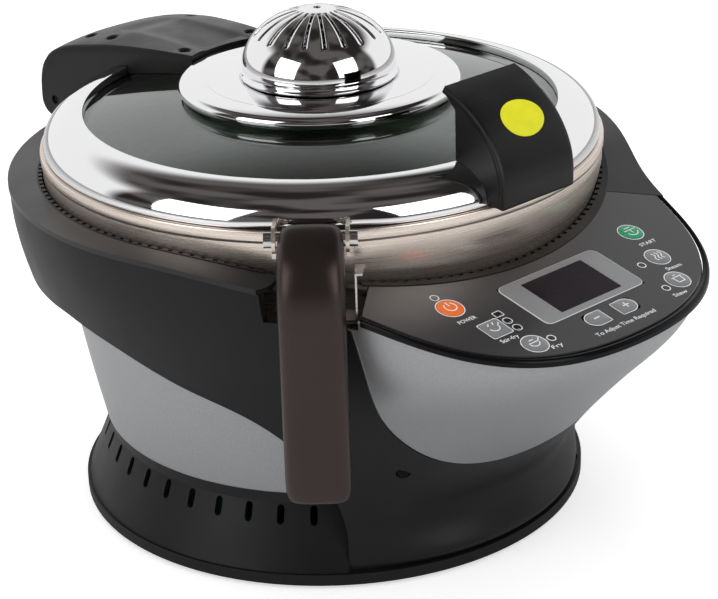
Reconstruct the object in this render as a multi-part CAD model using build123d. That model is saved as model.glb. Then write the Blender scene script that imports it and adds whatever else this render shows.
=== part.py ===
from build123d import *
import os
from math import cos, exp, pi, radians, sin, sqrt, tan

# A countertop multicooker: a round cooking pot in a flared housing, a hinged
# glass lid with a chrome ring, and a control panel on a nose at the front.
# Lengths are millimetres. The pot's axis is the vertical working axis and the
# panel faces -Y. Every piece is moved at the end so that the origin is at the
# middle of the underside.

# Gaps
seat_gap = 0.3
seam_gap = 0.4
running_gap = 0.05
moving_gap = 1.0

# Walls
shell_wall = 2.5
bowl_wall = 2.0
plate_wall = 3.0
sheet = 1.0

# Heights above the table
foot_height = 3.0
tray_floor = 3.0
tray_top = 10.0
skirt_slot_top = 46.0
skirt_top = 54.7
skirt_slot_count = 46
bowl_top = 165.0
deck_level = 213.0
pot_floor = 88.0
pot_depth = 141.1
lid_lip_rise = 0.3

# Radii about the pot's axis
tray_radius = 159.0
skirt_top_radius = 141.0
bowl_foot_radius = 143.3
bowl_top_radius = 161.5
deck_width = 17.5
pot_radius = 169.5
pot_wall = 1.5
pot_rim_reach = 0.8
pot_rim_band = 6.5
pot_rim_inside = 3.0
pot_gap = 3.0
deck_collar = 2.5
lid_step = 2.0
lid_handle_reach = 9.7
lid_opening_radius = 142.8
centre_plate_radius = 85.5
dome_radius = 46.5
dome_rise = 34.5
dome_slot_count = 20

base_screw_angles = (20, 160, 200, 340)

# Nose that carries the panel
nose_reach = 65.5
nose_half_angle = 33.8
nose_power = 3.645
nose_start = 45.0
nose_full = 151.0
panel_half_angle = 51.0
panel_apex = 64.0
panel_slope = 13.1
slope_start = 45.0
slope_full = 105.0
rim_width = 4.0
deck_lip = 0.8
rim_depth = 3.6
plate_depth = 4.5
film = 0.8

# Chin, the silver cover under the nose: half width and height of its outline
chin_outline = [(0, 77.5), (44, 81), (76, 93), (99, 115), (112, 139), (120, 163), (126, 190)]

# Front lower edge of the upper shell, seen from the side: y and z
sweep_edge = [(-118.5, 54), (-111, 84), (-98.4, 106), (-84, 119), (-64, 129), (-42, 139), (-17, 149), (12, 156)]
sweep_rear_height = 158.0
front_seam = -121.0

# Hinge behind the pot
hinge_standoff = 16.0
hinge_rise = 2.0
hinge_pin_radius = 3.0
hinge_rear_reach = 12.0
cover_front_half_width = 34.0
cover_rear_half_width = 51.0
cover_wall = 2.5
cover_roof = [(55.5, 16.5), (115.0, 14.0), (155.0, 10.4), (188.0, 4.5)]

# Cover screws: x, y and the level of the strap there above the lid's crest
screw_rows = [(31.0, 187.0, -6.0), (32.5, 162.0, seat_gap), (27.0, 95.0, 6.0)]
strap_thickness = 2.0

# Pot handle
handle_angle = -134.1
pin_reach = 16.5
pin_rise = 2.4
pin_radius = 4.5
pin_length = 50.0
grip_width = 36.0
grip_length = 152.0
grip_thickness = 20.0
grip_offset = 13.5
notch_half_width = 24.0
notch_depth = 29.0
notch_flare = 14.0
strip_width = 8.0

# Lid handle
lid_handle_half_width = 28.0
lid_handle_wall = 3.6
lid_handle_height = 62.0

# Controls: name, x, y, size and shape
round_key = 7.6
power_key_radius = 7.8
small_key = 7.4
square_key = 14.5
keys = [
    ("power_key", -74.5, -182.0, "power"),
    ("stir_fry_key", -67.5, -208.5, "square"),
    ("fry_key", -59.3, -229.7, "round"),
    ("start_key", 74.5, -182.0, "start"),
    ("steam_key", 67.5, -208.0, "round"),
    ("stew_key", 59.0, -229.7, "round"),
    ("minus_key", -12.0, -231.5, "small"),
    ("plus_key", 12.0, -231.5, "small"),
]
key_travel = 0.7
key_proud = 0.6
key_collar = 1.5
led_places = [(-74.8, -170.4), (-56, -199.7), (-56, -206.8), (-56, -214), (-47.5, -230.7), (52.5, -209), (46.3, -232)]
led_radius = 1.6
screen_width = 79.0
screen_height = 40.0
window_width = 49.8
window_height = 32.2
screen_place = -202.4
board_depth = 16.0
board_thickness = 1.6

# Power inlet
inlet_width = 31.0
inlet_height = 21.0
inlet_low = 16.5
inlet_face = 144.0
inlet_length = 24.0

# Drive under the pot
output_radius = 6.0
gear_module = 1.5
pinion_teeth = 12
wheel_teeth = 60
tooth_backlash = 0.35
motor_radius = 26.0
motor_height = 34.0
gear_thickness = 8.0
gear_level = 50.0
hub_height = 34.0
hub_radius = 13.0

# Heating
heater_radius = 84.0
heater_bore = 24.0
heater_thickness = 8.0
probe_place = 46.0
probe_radius = 9.0
probe_travel = 2.0

# Values that follow from those above
foot_circle = tray_radius - 27
base_screw_circle = tray_radius - 14
skirt_foot_radius = tray_radius - 1.8
shell_foot_radius = tray_radius - 4
pot_rim_radius = pot_radius + pot_rim_reach
lid_radius = pot_rim_radius - lid_step
pot_ledge_radius = pot_radius - pot_rim_inside
deck_bore_radius = pot_radius + pot_gap
shell_top_radius = deck_bore_radius + deck_width
hinge_rear = shell_top_radius + hinge_standoff
pin_circle = pot_radius + pin_reach
pot_rim_height = pot_floor + pot_depth
lid_lip = pot_rim_height + lid_lip_rise
lid_crest = lid_lip + 20.3
glass_crown = lid_crest + 10.1
glass_sphere = 668.7
plate_crown = glass_crown + 5.5
dome_base = plate_crown + 5.2
glass_thickness = 4.0
hinge_height = deck_level + hinge_rise
pin_height = pot_rim_height + pin_rise
front_reach = shell_top_radius + nose_reach + deck_lip
rear_reach = hinge_rear + hinge_rear_reach
plan_middle = (rear_reach - front_reach) / 2
far = 600.0


def vertical_box(x0, x1, y0, y1, z0, z1):
    """A box between two corners."""
    middle = Pos((x0 + x1) / 2, (y0 + y1) / 2, (z0 + z1) / 2)
    return middle * Box(x1 - x0, y1 - y0, z1 - z0)


def post(radius, z0, z1, x=0.0, y=0.0):
    """An upright cylinder between two heights."""
    return Pos(x, y, (z0 + z1) / 2) * Cylinder(radius, z1 - z0)


def turned(*edges):
    """A solid of revolution from closed edges given as radius and height."""
    return revolve(Plane.XZ * make_face(Curve() + list(edges)), Axis.Z)


def turned_outline(points):
    """A solid of revolution from the corners of its half section."""
    return revolve(Plane.XZ * make_face(Polyline(*points, close=True)), Axis.Z)


def side_prism(edges, x0=-far, x1=far):
    """A solid across the cooker from closed edges given as y and z."""
    face = Plane.YZ * make_face(Curve() + list(edges))
    return Pos(x0, 0, 0) * extrude(face, x1 - x0)


def around(piece, angle):
    """The piece turned about the pot's axis."""
    return Rot(0, 0, angle) * piece


def shell_radius(height):
    """Radius of the housing's skin away from the nose: slim below, full at the shoulder."""
    shoulder = deck_level - 8.0
    share = min(max((height - tray_top) / (shoulder - tray_top), 0.0), 1.0)
    rise = (1 - cos(pi * share**1.35)) / 2
    return shell_foot_radius + (shell_top_radius - shell_foot_radius) * rise


def nose_share(height):
    """How far the nose has grown out at this height, from 0 to 1."""
    return min(max((height - nose_start) / (nose_full - nose_start), 0.0), 1.0)


def skin_radius(angle, height, inset=0.0):
    """Distance from the pot's axis to the skin; the angle is from the front."""
    away = abs((angle + 180) % 360 - 180)
    bulge = exp(-((away / nose_half_angle) ** nose_power))
    return shell_radius(height) + nose_reach * nose_share(height) * bulge - inset


def skin_wire(height, inset=0.0, steps=48):
    """The closed outline of the housing at one height."""
    points = []
    for step in range(steps):
        angle = 360 * step / steps
        radius = skin_radius(angle, height, inset)
        points.append((radius * sin(radians(angle)), -radius * cos(radians(angle)), height))
    return Wire([Edge.make_spline(points, periodic=True)])


def skin_solid(inset=0.0):
    """The housing's outer form as one solid, from the tray to the deck."""
    span = deck_level - tray_top
    shares = [0, 0.09, 0.17, 0.26, 0.36, 0.46, 0.56, 0.65, 0.73, 0.82, 0.91, 1.0]
    wires = [skin_wire(tray_top + share * span, inset) for share in shares]
    return Part(Solid.make_loft(wires).wrapped)


def deck_column(inset=0.0):
    """An upright solid with the outline of the deck."""
    face = Face(skin_wire(deck_level, inset))
    return Pos(0, 0, -deck_level) * extrude(face, 2 * deck_level, dir=(0, 0, 1))


def deck_height(y):
    """Height of the deck's top surface, level at the back and sloping at the front."""
    slope = radians(panel_slope)
    bend = (slope_full - slope_start) / sin(slope)
    if y > -slope_start:
        return deck_level
    if y > -slope_full:
        return deck_level - bend + sqrt(bend**2 - (y + slope_start) ** 2)
    return deck_level - bend * (1 - cos(slope)) + (y + slope_full) * tan(slope)


def under_deck(drop, depth=far):
    """Everything from a drop below the deck's surface down to a depth below that."""
    middle = -(slope_start + slope_full) / 2
    tip = -front_reach - 60
    back = rear_reach + 60
    top = [
        Line((back, deck_level - drop), (-slope_start, deck_level - drop)),
        ThreePointArc(
            (-slope_start, deck_level - drop),
            (middle, deck_height(middle) - drop),
            (-slope_full, deck_height(-slope_full) - drop),
        ),
        Line((-slope_full, deck_height(-slope_full) - drop), (tip, deck_height(tip) - drop)),
        Line((tip, deck_height(tip) - drop), (tip, deck_level - drop - depth)),
        Line((tip, deck_level - drop - depth), (back, deck_level - drop - depth)),
        Line((back, deck_level - drop - depth), (back, deck_level - drop)),
    ]
    return side_prism(top)


def deck_slab(top, bottom):
    """A layer that follows the deck's surface, between two drops below it."""
    return under_deck(top) - under_deck(bottom)


def panel_wedge(shrink=0.0):
    """The sector of the nose that carries the panel."""
    half = radians(panel_half_angle)
    reach = far * 0.8
    apex = -panel_apex - shrink / sin(half)
    corners = [(0, apex), (reach * sin(half), apex - reach * cos(half)), (-reach * sin(half), apex - reach * cos(half))]
    return extrude(make_face(Polyline(*corners, close=True)), far / 2, both=True)


def panel_plane(x, y, drop=0.0):
    """A plane on the sloping panel at a place seen from above."""
    slope = radians(panel_slope)
    origin = (x, y + drop * sin(slope), deck_height(y) - drop * cos(slope))
    return Plane(origin=origin, x_dir=(1, 0, 0), z_dir=(0, -sin(slope), cos(slope)))


def on_panel(sketch, x, y, top, bottom):
    """A sketch extruded square to the panel between two drops below it."""
    return extrude(panel_plane(x, y, bottom) * sketch, bottom - top)


def behind_sweep(shift=0.0):
    """All that lies behind and below the sweeping edge of the upper shell."""
    points = [(y + shift, z - shift) for y, z in sweep_edge]
    start = (front_seam + shift, -10)
    first = (front_seam + shift, tray_top)
    last = (points[-1][0] + 60, sweep_rear_height - shift)
    edges = [
        Line(start, first),
        Line(first, points[0]),
        Spline(*points, last, tangents=((0.1, 1.0), (1.0, 0.0))),
        Line(last, (far, last[1])),
        Line((far, last[1]), (far, -10)),
        Line((far, -10), start),
    ]
    return side_prism(edges)


def chin_prism(grow=0.0):
    """The chin's U-shaped outline, carried straight back into the nose."""
    right = [(x + (grow if x else 0), z - (grow if x < 100 else 0)) for x, z in chin_outline]
    left = [(-x, z) for x, z in reversed(right[1:])]
    curve = Spline(*left, *right)
    edges = [curve, Line(right[-1], (right[-1][0], far)), Line((right[-1][0], far), (-right[-1][0], far))]
    edges.append(Line((-right[-1][0], far), left[0]))
    face = Plane.XZ * make_face(Curve() + edges)
    return Pos(0, -60, 0) * extrude(face, far)


def glass_height(radius):
    """Height of the glass's top face at a distance from the axis."""
    return glass_crown - radius**2 / (2 * glass_sphere)


def lid_top_envelope(gap):
    """The lid's ring and glass with a gap over them, for what lies on top."""
    crest = lid_crest + gap
    lip = lid_radius + gap
    corner = lid_opening_radius - gap
    low = lid_lip - 12
    ring = [
        Line((0, low), (lip, low)),
        Line((lip, low), (lip, lid_lip)),
        EllipticalCenterArc(
            (lid_opening_radius, lid_lip), lip - lid_opening_radius, crest - lid_lip, arc_size=90
        ),
        Line((lid_opening_radius, crest), (corner, crest)),
        Line((corner, crest), (corner, glass_height(corner) + gap)),
        ThreePointArc(
            (corner, glass_height(corner) + gap), (corner / 2, glass_height(corner / 2) + gap), (0, glass_crown + gap)
        ),
        Line((0, glass_crown + gap), (0, low)),
    ]
    return turned(*ring)


def notch_tool(half_width, depth, inner, strip=0.0):
    """The passage through deck and shell that the pot's handle hangs in, wider by a strip at the panel."""
    box = vertical_box(inner, far / 2, -half_width + notch_flare, half_width + strip, deck_level - depth, deck_level + 40)
    start = (inner, 4 - half_width)
    end = (shell_top_radius + 1, -half_width - notch_flare)
    edges = [
        ThreePointArc(start, (inner + 9, -half_width - 0.5), end),
        Line(end, (far / 2, end[1])),
        Line((far / 2, end[1]), (far / 2, notch_flare)),
        Line((far / 2, notch_flare), (inner, notch_flare)),
        Line((inner, notch_flare), start),
    ]
    flare = Pos(0, 0, deck_level - depth) * extrude(make_face(Curve() + edges), depth + 40)
    return around(box + flare, handle_angle)


# Base

def rubber_feet():
    """Four feet, each with a stem pressed into the tray."""
    feet = Part()
    for angle in (45, 135, 225, 315):
        foot = post(11, 0, foot_height, foot_circle) + post(4, foot_height, foot_height + 2.5, foot_circle)
        feet += around(foot, angle)
    return feet


def base_tray():
    """Round tray with a rim that the skirt and the front body stand on."""
    floor_top = foot_height + tray_floor
    tray = post(tray_radius, foot_height, tray_top) - post(tray_radius - 7, floor_top, tray_top + 1)
    cut = Pos(102, 0, foot_height - 1) * extrude(SlotOverall(26, 4), tray_floor + 2)
    tray -= [around(cut, 15 * step) for step in range(24)]
    for angle in (45, 135, 225, 315):
        tray -= around(post(4 + running_gap, 0, floor_top + 1, foot_circle), angle)
    for angle in base_screw_angles:
        tray += around(post(8, floor_top, tray_top, base_screw_circle), angle)
        tray -= around(post(2, 0, tray_top + 1, base_screw_circle), angle)
    return tray


def skirt_section(inset):
    """Radius of the skirt's cone and collar, less an inset."""
    return [
        (skirt_foot_radius - inset, tray_top),
        (skirt_top_radius + 0.6 - inset, skirt_slot_top),
        (skirt_top_radius - inset, skirt_slot_top + 1.5),
        (skirt_top_radius - inset, skirt_top),
    ]


def vent_skirt():
    """Cone behind the front body, with a row of upright vents under its top edge."""
    cone = turned_outline([(0, tray_top)] + skirt_section(0) + [(0, skirt_top)])
    skirt = cone - turned_outline([(0, tray_top)] + skirt_section(shell_wall) + [(0, skirt_top)])
    pitch = 360 / skirt_slot_count
    first = int(44 / pitch) + 1
    start = (0, -skirt_top_radius - 12, skirt_slot_top - 5)
    slot = extrude(Plane(origin=start, x_dir=(0, 0, 1), z_dir=(0, 1, 0)) * SlotOverall(11, 4.4), 24)
    skirt -= [around(slot, step * pitch) for step in range(first, skirt_slot_count - first + 1)]
    skirt = skirt & behind_sweep(seam_gap)
    lug = post(7, tray_top, tray_top + 12, base_screw_circle)
    lug += vertical_box(base_screw_circle, base_screw_circle + 20, -2, 2, tray_top, tray_top + 12)
    lug -= post(2, tray_top - 1, tray_top + 9, base_screw_circle)
    for angle in base_screw_angles:
        skirt += around(lug, angle) & cone
    half = inlet_width / 2 + seat_gap
    low = inlet_low - seat_gap
    top = inlet_low + inlet_height + seat_gap
    face = inlet_face - 6
    surround = vertical_box(-half - 2, half + 2, face, skirt_foot_radius, low - 2, top + 2) & cone
    return skirt + surround - vertical_box(-half, half, face - 20, far, low, top)


def silver_bowl():
    """Slightly bellied cone that shows between the skirt and the upper shell."""
    middle = (skirt_top + bowl_top) / 2
    belly = (bowl_foot_radius + bowl_top_radius) / 2 + 1.3
    flange = shell_radius(bowl_top - bowl_wall) - shell_wall - 2 * seat_gap
    foot = skirt_top
    edges = [
        ThreePointArc((bowl_foot_radius, foot + 1), (belly, middle), (bowl_top_radius, bowl_top - bowl_wall)),
        Line((bowl_top_radius, bowl_top - bowl_wall), (flange, bowl_top - bowl_wall)),
        Line((flange, bowl_top - bowl_wall), (flange, bowl_top)),
        Line((flange, bowl_top), (bowl_top_radius - bowl_wall, bowl_top)),
        ThreePointArc(
            (bowl_top_radius - bowl_wall, bowl_top),
            (belly - bowl_wall, middle),
            (bowl_foot_radius - bowl_wall, foot + 2),
        ),
        Line((bowl_foot_radius - bowl_wall, foot + 2), (skirt_top_radius - 5, foot + 2)),
        Line((skirt_top_radius - 5, foot + 2), (skirt_top_radius - 5, foot)),
        Line((skirt_top_radius - 5, foot), (bowl_foot_radius - 1, foot)),
        Line((bowl_foot_radius - 1, foot), (bowl_foot_radius, foot + 1)),
    ]
    return turned(*edges)


def housing_shell():
    """The hollow skin of the whole housing, cut off under the deck and open for the handle."""
    skin = skin_solid(0.0) - skin_solid(shell_wall)
    skin -= deck_slab(-far / 4, plate_wall)
    skin -= panel_wedge() & deck_slab(-far / 4, rim_depth)
    return skin - notch_tool(notch_half_width, notch_depth, deck_bore_radius + deck_collar)


def upper_shell(skin):
    """Black sash and front body in one piece."""
    shell = skin - behind_sweep(0.0) - chin_prism(seam_gap)
    for side in (-1, 1):
        shell -= body_screw_tool(side, 4.2, -1.0, 12)
        shell -= body_screw_tool(side, 2.0, -8, 14)
    return shell


def body_screw_tool(side, radius, start, reach):
    """A cylinder along a body screw's axis, measured inward from the skin."""
    height = 80.0
    place = radians(28.7)
    away = skin_radius(28.7, height)
    x = away * sin(place) * side
    y = -away * cos(place)
    direction = (-side * 0.48, 0.877, 0)
    plane = Plane(origin=(x, y, height), z_dir=direction)
    return plane * Pos(0, 0, start + reach / 2) * Cylinder(radius, reach)


def housing_screws():
    """Four screws through the tray into the skirt, and two that hold the front body."""
    screws = Part()
    for angle in base_screw_angles:
        screw = post(3.6, foot_height - 2, foot_height, base_screw_circle)
        screw += post(2 - running_gap, foot_height, tray_top + 8, base_screw_circle)
        screws += around(screw, angle)
    for side in (-1, 1):
        screws += body_screw_tool(side, 3.6, 0.5, 2.0)
        screws += body_screw_tool(side, 1.9, 2.5, 9.0)
    return screws


def chin_cover(skin):
    """Silver cover under the nose, flush with the shell around it."""
    return skin & chin_prism(0.0)


# Deck and panel

def deck_bore():
    """The opening that the pot stands in."""
    return post(deck_bore_radius, 0, deck_level + 50)


def deck_cover():
    """Black top ring with a collar round the pot."""
    deck = deck_column(-deck_lip) & deck_slab(0, plate_wall)
    deck -= panel_wedge(-seam_gap)
    collar = post(deck_bore_radius + deck_collar, deck_level - 16, deck_level - 0.5)
    collar -= panel_wedge(-seam_gap)
    collar = collar & under_deck(0)
    deck += collar
    deck -= deck_bore()
    return deck - notch_tool(notch_half_width, notch_depth, deck_bore_radius + deck_collar, strip_width)


def panel_rim():
    """Gloss band round the edge of the panel."""
    band = deck_column(-deck_lip) - deck_column(rim_width)
    return band & deck_slab(0, rim_depth) & panel_wedge(0)


def panel_area(inset, top, bottom):
    """A layer of the panel inside the rim."""
    area = deck_column(rim_width + inset) & deck_slab(top, bottom) & panel_wedge(inset)
    return area - post(deck_bore_radius + inset, 0, deck_level + 50)


def key_sketch(kind, grow=0.0):
    """Outline of one key."""
    if kind == "square":
        return RectangleRounded(square_key + 2 * grow, square_key + 2 * grow, 2.5 + grow)
    if kind == "small":
        return RectangleRounded(2 * (small_key + grow), 1.6 * (small_key + grow), 3 + grow)
    if kind == "power":
        return Circle(power_key_radius + grow)
    return Circle(round_key + grow)


def cut_key_holes(layer, depth):
    """Cuts every key's hole and every light's hole through a layer."""
    for name, x, y, kind in keys:
        layer -= on_panel(key_sketch(kind, seam_gap), x, y, -2, depth)
    for x, y in led_places:
        layer -= on_panel(Circle(led_radius + running_gap), x, y, -2, depth)
    return layer


def panel_film():
    """Dark overlay on the panel, with holes for the keys, lights and screen."""
    layer = panel_area(seat_gap, 0, film)
    layer -= on_panel(Rectangle(screen_width + 0.6, screen_height + 0.6), 0, screen_place, -2, film + 1)
    return cut_key_holes(layer, film + 1)


def panel_plate():
    """Plate under the film, with the posts that the control board hangs on."""
    plate = panel_area(seat_gap + 3, film, plate_depth)
    for x, y in [(-92, -196), (92, -196), (-36, -238), (36, -238)]:
        plate += on_panel(Circle(3.5), x, y, plate_depth - 0.5, board_depth)
    plate = cut_key_holes(plate, plate_depth + 2)
    plate -= on_panel(Rectangle(window_width - 3, window_height - 3), 0, screen_place, -2, plate_depth + 2)
    return plate


def key_piece(x, y, kind):
    """A key with a collar that holds it under the plate."""
    key = on_panel(key_sketch(kind), x, y, -key_proud, plate_depth + seat_gap + 1)
    collar = key_sketch(kind, key_collar)
    key += on_panel(collar, x, y, plate_depth + seat_gap, plate_depth + seat_gap + 1.2)
    return key


def led_lenses():
    """Small clear lenses beside the keys."""
    lenses = Part()
    for x, y in led_places:
        lenses += on_panel(Circle(led_radius), x, y, -0.2, plate_depth + 1)
    return lenses


def screen_frame():
    """Grey frame let into the film."""
    frame = on_panel(RectangleRounded(screen_width, screen_height, 4), 0, screen_place, -0.6, film - running_gap)
    hole = Rectangle(window_width + 2 * running_gap, window_height + 2 * running_gap)
    return frame - on_panel(hole, 0, screen_place, -2, film + 1)


def screen_window():
    """Dark window inside the frame."""
    return on_panel(Rectangle(window_width, window_height), 0, screen_place, -0.3, film - running_gap)


def display_module():
    """Display under the window, standing on the control board."""
    return on_panel(Rectangle(window_width + 8, window_height + 6), 0, screen_place, plate_depth + 0.5, board_depth)


def control_board():
    """Circuit board under the panel, with a switch under each key."""
    board = deck_column(rim_width + 12) & panel_wedge(8)
    slab = on_panel(Rectangle(far, far), 0, screen_place, board_depth, board_depth + board_thickness)
    board = (board & slab) - post(deck_bore_radius + 6, 0, far)
    switch_top = plate_depth + seat_gap + 1.2 + key_travel + seat_gap
    for name, x, y, kind in keys:
        board += on_panel(Rectangle(6, 6), x, y, switch_top, board_depth)
    return board


# Heating and drive

def pot_section(inset):
    """Half section of the pot's wall, moved inward by an inset."""
    floor = pot_floor + inset
    return [
        (heater_radius + 2 - inset * 0.3, floor),
        (pot_radius - 52.5 - inset * 0.8, pot_floor + 9 + inset * 0.7),
        (pot_radius - 33.5 - inset, pot_floor + 27 + inset * 0.4),
        (pot_radius - 23.5 - inset, pot_floor + 51),
        (pot_radius - 14.8 - inset, pot_floor + 77),
        (pot_radius - inset, pot_rim_height - 12),
    ]


def inner_pot():
    """Steel pot with a band round its rim and a hub for the stirrer's spindle."""
    outer = pot_section(0)
    inner = pot_section(pot_wall)
    rim = pot_rim_height
    thick = 1.2
    band = pot_rim_band
    section = [
        Line((0, pot_floor), outer[0]),
        Spline(*outer, tangents=((1, 0), (0, 1))),
        Line(outer[-1], (pot_radius, rim - band)),
        Line((pot_radius, rim - band), (pot_rim_radius, rim - band)),
        Line((pot_rim_radius, rim - band), (pot_rim_radius, rim)),
        Line((pot_rim_radius, rim), (pot_ledge_radius, rim)),
        Line((pot_ledge_radius, rim), (pot_ledge_radius, rim - thick)),
        Line((pot_ledge_radius, rim - thick), (pot_radius - pot_wall, rim - thick)),
        Line((pot_radius - pot_wall, rim - thick), inner[-1]),
        Spline(*inner[::-1], tangents=((0, -1), (-1, 0))),
        Line(inner[0], (0, pot_floor + pot_wall)),
        Line((0, pot_floor + pot_wall), (0, pot_floor)),
    ]
    pot = turned(*section)
    pot += post(hub_radius, pot_floor, pot_floor + hub_height)
    pot -= post(hub_radius - 3, pot_floor - 1, pot_floor + hub_height + 1)
    return pot


def spindle_bush():
    """Bearing bush pressed into the pot's hub."""
    bush = post(hub_radius - 3 - running_gap, pot_floor + 2, pot_floor + hub_height - 5)
    return bush - post(output_radius - 1 + running_gap, pot_floor, pot_floor + hub_height)


def spindle_seal():
    """Soft ring over the bush that keeps liquid out of the hub."""
    seal = post(hub_radius - 3 - running_gap, pot_floor + hub_height - 5 + seat_gap, pot_floor + hub_height)
    return seal - post(output_radius - 1 + 0.4, pot_floor, pot_floor + hub_height + 1)


def pot_spindle():
    """Spindle through the hub, with a cross at its foot and a square at its head."""
    spindle = post(output_radius - 1, pot_floor - 4, pot_floor + hub_height + 2)
    spindle += vertical_box(-3.4, 3.4, -3.4, 3.4, pot_floor + hub_height + 2, pot_floor + hub_height + 14)
    spindle += vertical_box(-9, 9, -2, 2, pot_floor - 6, pot_floor - 1)
    return spindle


def stir_paddle():
    """Two-armed paddle that sits over the hub and sweeps the floor of the pot."""
    low = pot_floor + 4
    top = pot_floor + hub_height + 16
    ceiling = pot_floor + hub_height + 2 + seat_gap
    cap = post(hub_radius + 4, low, top) - post(hub_radius + moving_gap, low - 1, ceiling)
    cap -= vertical_box(-3.5, 3.5, -3.5, 3.5, low, pot_floor + hub_height + 14 + seat_gap)
    for turn in (0, 180):
        arm = vertical_box(hub_radius + 2, heater_radius - 4, -3, 3, low, low + 16)
        arm += Pos(heater_radius - 4, 0, low + 8) * Rot(0, 0, 25) * Box(10, 26, 16)
        cap += around(arm, turn + 20)
    return cap


def heater_plate():
    """Cast plate under the pot, with a hole for the drive and one for the probe."""
    top = pot_floor
    plate = post(heater_radius, top - heater_thickness, top)
    plate -= post(heater_bore, 0, far)
    groove = post(heater_radius - 16, top - heater_thickness - 1, top - heater_thickness + 3)
    groove -= post(heater_radius - 26, 0, far)
    plate -= groove
    return plate - post(probe_radius + 1.2, 0, far, 0, probe_place)


def heating_element():
    """Round tube element in the groove under the plate, with two upright terminals."""
    ring_height = pot_floor - heater_thickness - 0.5
    ring = Pos(0, 0, ring_height) * Rot(0, 0, 40) * Torus(heater_radius - 21, 3.3)
    for x in (-8, 8):
        place = sqrt((heater_radius - 21) ** 2 - x**2)
        ring += post(3, ring_height - 12, ring_height, x, -place)
    return ring


def heat_shield():
    """Dished sheet round the pot that carries the heater plate and hangs on the bowl."""
    floor = pot_floor - heater_thickness
    outside = [
        (heater_radius + 6, floor),
        (122, floor + 9),
        (143, floor + 32),
        (152.5, floor + 55),
        (157.2, bowl_top),
        (bowl_top_radius + 6, bowl_top),
    ]
    inside = [
        (bowl_top_radius + 6, bowl_top + sheet),
        (156.2, bowl_top + sheet),
        (151.5, floor + 55 + sheet / 2),
        (142, floor + 32 + sheet / 2),
        (121.5, floor + 9 + sheet),
        (heater_radius + 5.5, floor + sheet),
        (heater_radius + seat_gap, floor + sheet),
        (heater_radius + seat_gap, floor),
    ]
    return turned_outline(outside + inside)


def probe_body():
    """Sprung cap that touches the pot's floor."""
    top = pot_floor - seat_gap
    cap = post(probe_radius, top - 12, top, 0, probe_place)
    cap -= post(probe_radius - 1.5, top - 13, top - 1.5, 0, probe_place)
    return cap + post(2.5, top - 23.5, top - 1, 0, probe_place)


def probe_bracket():
    """Bridge under the heater plate that the probe's spring stands on."""
    top = pot_floor - heater_thickness
    low = top - 16
    half = probe_radius + 2.9
    bridge = vertical_box(-6, 6, probe_place - half, probe_place + half, low, low + 1.5)
    for y in (probe_place - half, probe_place + half - 1.5):
        bridge += vertical_box(-6, 6, y, y + 1.5, low, top)
    return bridge - post(2.5 + 0.3, 0, far, 0, probe_place)


def probe_spring():
    """Coil spring under the probe's cap."""
    low = pot_floor - heater_thickness - 14.5
    top = pot_floor - seat_gap - 1.5
    wire = 0.5
    path = Helix(pitch=(top - low - 2 * wire) / 5, height=top - low - 2 * wire, radius=4.5)
    start = path @ 0
    section = Plane(origin=start, z_dir=path % 0) * Circle(wire)
    return Pos(0, probe_place, low + wire) * sweep(section, path=path)


def gear_outline(teeth, rotation=0.0):
    """Spur gear outline with straight-sided teeth."""
    pitch = gear_module * teeth / 2
    outer = pitch + gear_module * 0.85
    root = pitch - gear_module * 1.2
    points = []
    for tooth in range(teeth):
        centre = 2 * pi * tooth / teeth + radians(rotation)
        half_pitch = (gear_module * pi / 4 - tooth_backlash) / pitch
        spread = 0.36 * gear_module / pitch
        for angle, radius in (
            (-half_pitch - spread, root),
            (-half_pitch + spread, outer),
            (half_pitch - spread, outer),
            (half_pitch + spread, root),
        ):
            points.append((radius * cos(centre + angle), radius * sin(centre + angle)))
    return make_face(Polyline(*points, close=True))


def gear_spacing():
    """Distance between the two gear axes."""
    return gear_module * (pinion_teeth + wheel_teeth) / 2 + 0.15


def drive_wheel():
    """Large gear on the output shaft."""
    wheel = Pos(0, 0, gear_level) * extrude(gear_outline(wheel_teeth), gear_thickness)
    return wheel - post(output_radius - running_gap, gear_level - 1, gear_level + gear_thickness + 1)


def output_shaft():
    """Upright shaft from the gear case to the coupling under the pot."""
    top = pot_floor - 7
    shaft = post(output_radius - 2 * running_gap, gear_level - 7, top)
    shaft += post(14, top - 6, top + 4.5)
    return shaft - vertical_box(-9.8, 9.8, -2.8, 2.8, top - 0.5, top + 10) - post(output_radius, top - 0.5, top + 10)


def drive_pinion():
    """Small gear on the motor's shaft."""
    rotation = 180 / pinion_teeth
    gear = Pos(0, 0, gear_level) * extrude(gear_outline(pinion_teeth, rotation), gear_thickness)
    shaft = post(2.5, gear_level - 12, gear_level + gear_thickness + 4)
    return Pos(gear_spacing(), 0, 0) * (gear + shaft)


def drive_motor():
    """Motor can under the gear case."""
    top = gear_level - 4
    return post(motor_radius, top - motor_height, top, gear_spacing(), 0) - post(3.2, top - 9, far, gear_spacing(), 0)


def gear_case_plan(grow):
    """Outline of the gear case from above."""
    wheel_radius = gear_module * wheel_teeth / 2 + 5 + grow
    pinion_radius = gear_module * pinion_teeth / 2 + 8 + grow
    return make_hull((Circle(wheel_radius).edges() + (Pos(gear_spacing(), 0) * Circle(pinion_radius)).edges()))


def gear_case():
    """Lower half of the gear case, standing on the tray."""
    low = gear_level - 4
    floor_top = foot_height + tray_floor
    case = Pos(0, 0, low) * extrude(gear_case_plan(0), gear_thickness + 5)
    case -= Pos(0, 0, low + 2.5) * extrude(gear_case_plan(-2.5), far)
    case -= post(3.2, 0, far, gear_spacing(), 0)
    boss = post(output_radius + 5, low - 4, low + 3) - post(output_radius - running_gap, 0, far)
    case = case - post(output_radius - running_gap, 0, far) + boss
    for x, y in [(-38, 26), (-38, -26), (20, 44), (20, -44)]:
        case += post(5, floor_top, low + 2, x, y)
    return case


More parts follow.
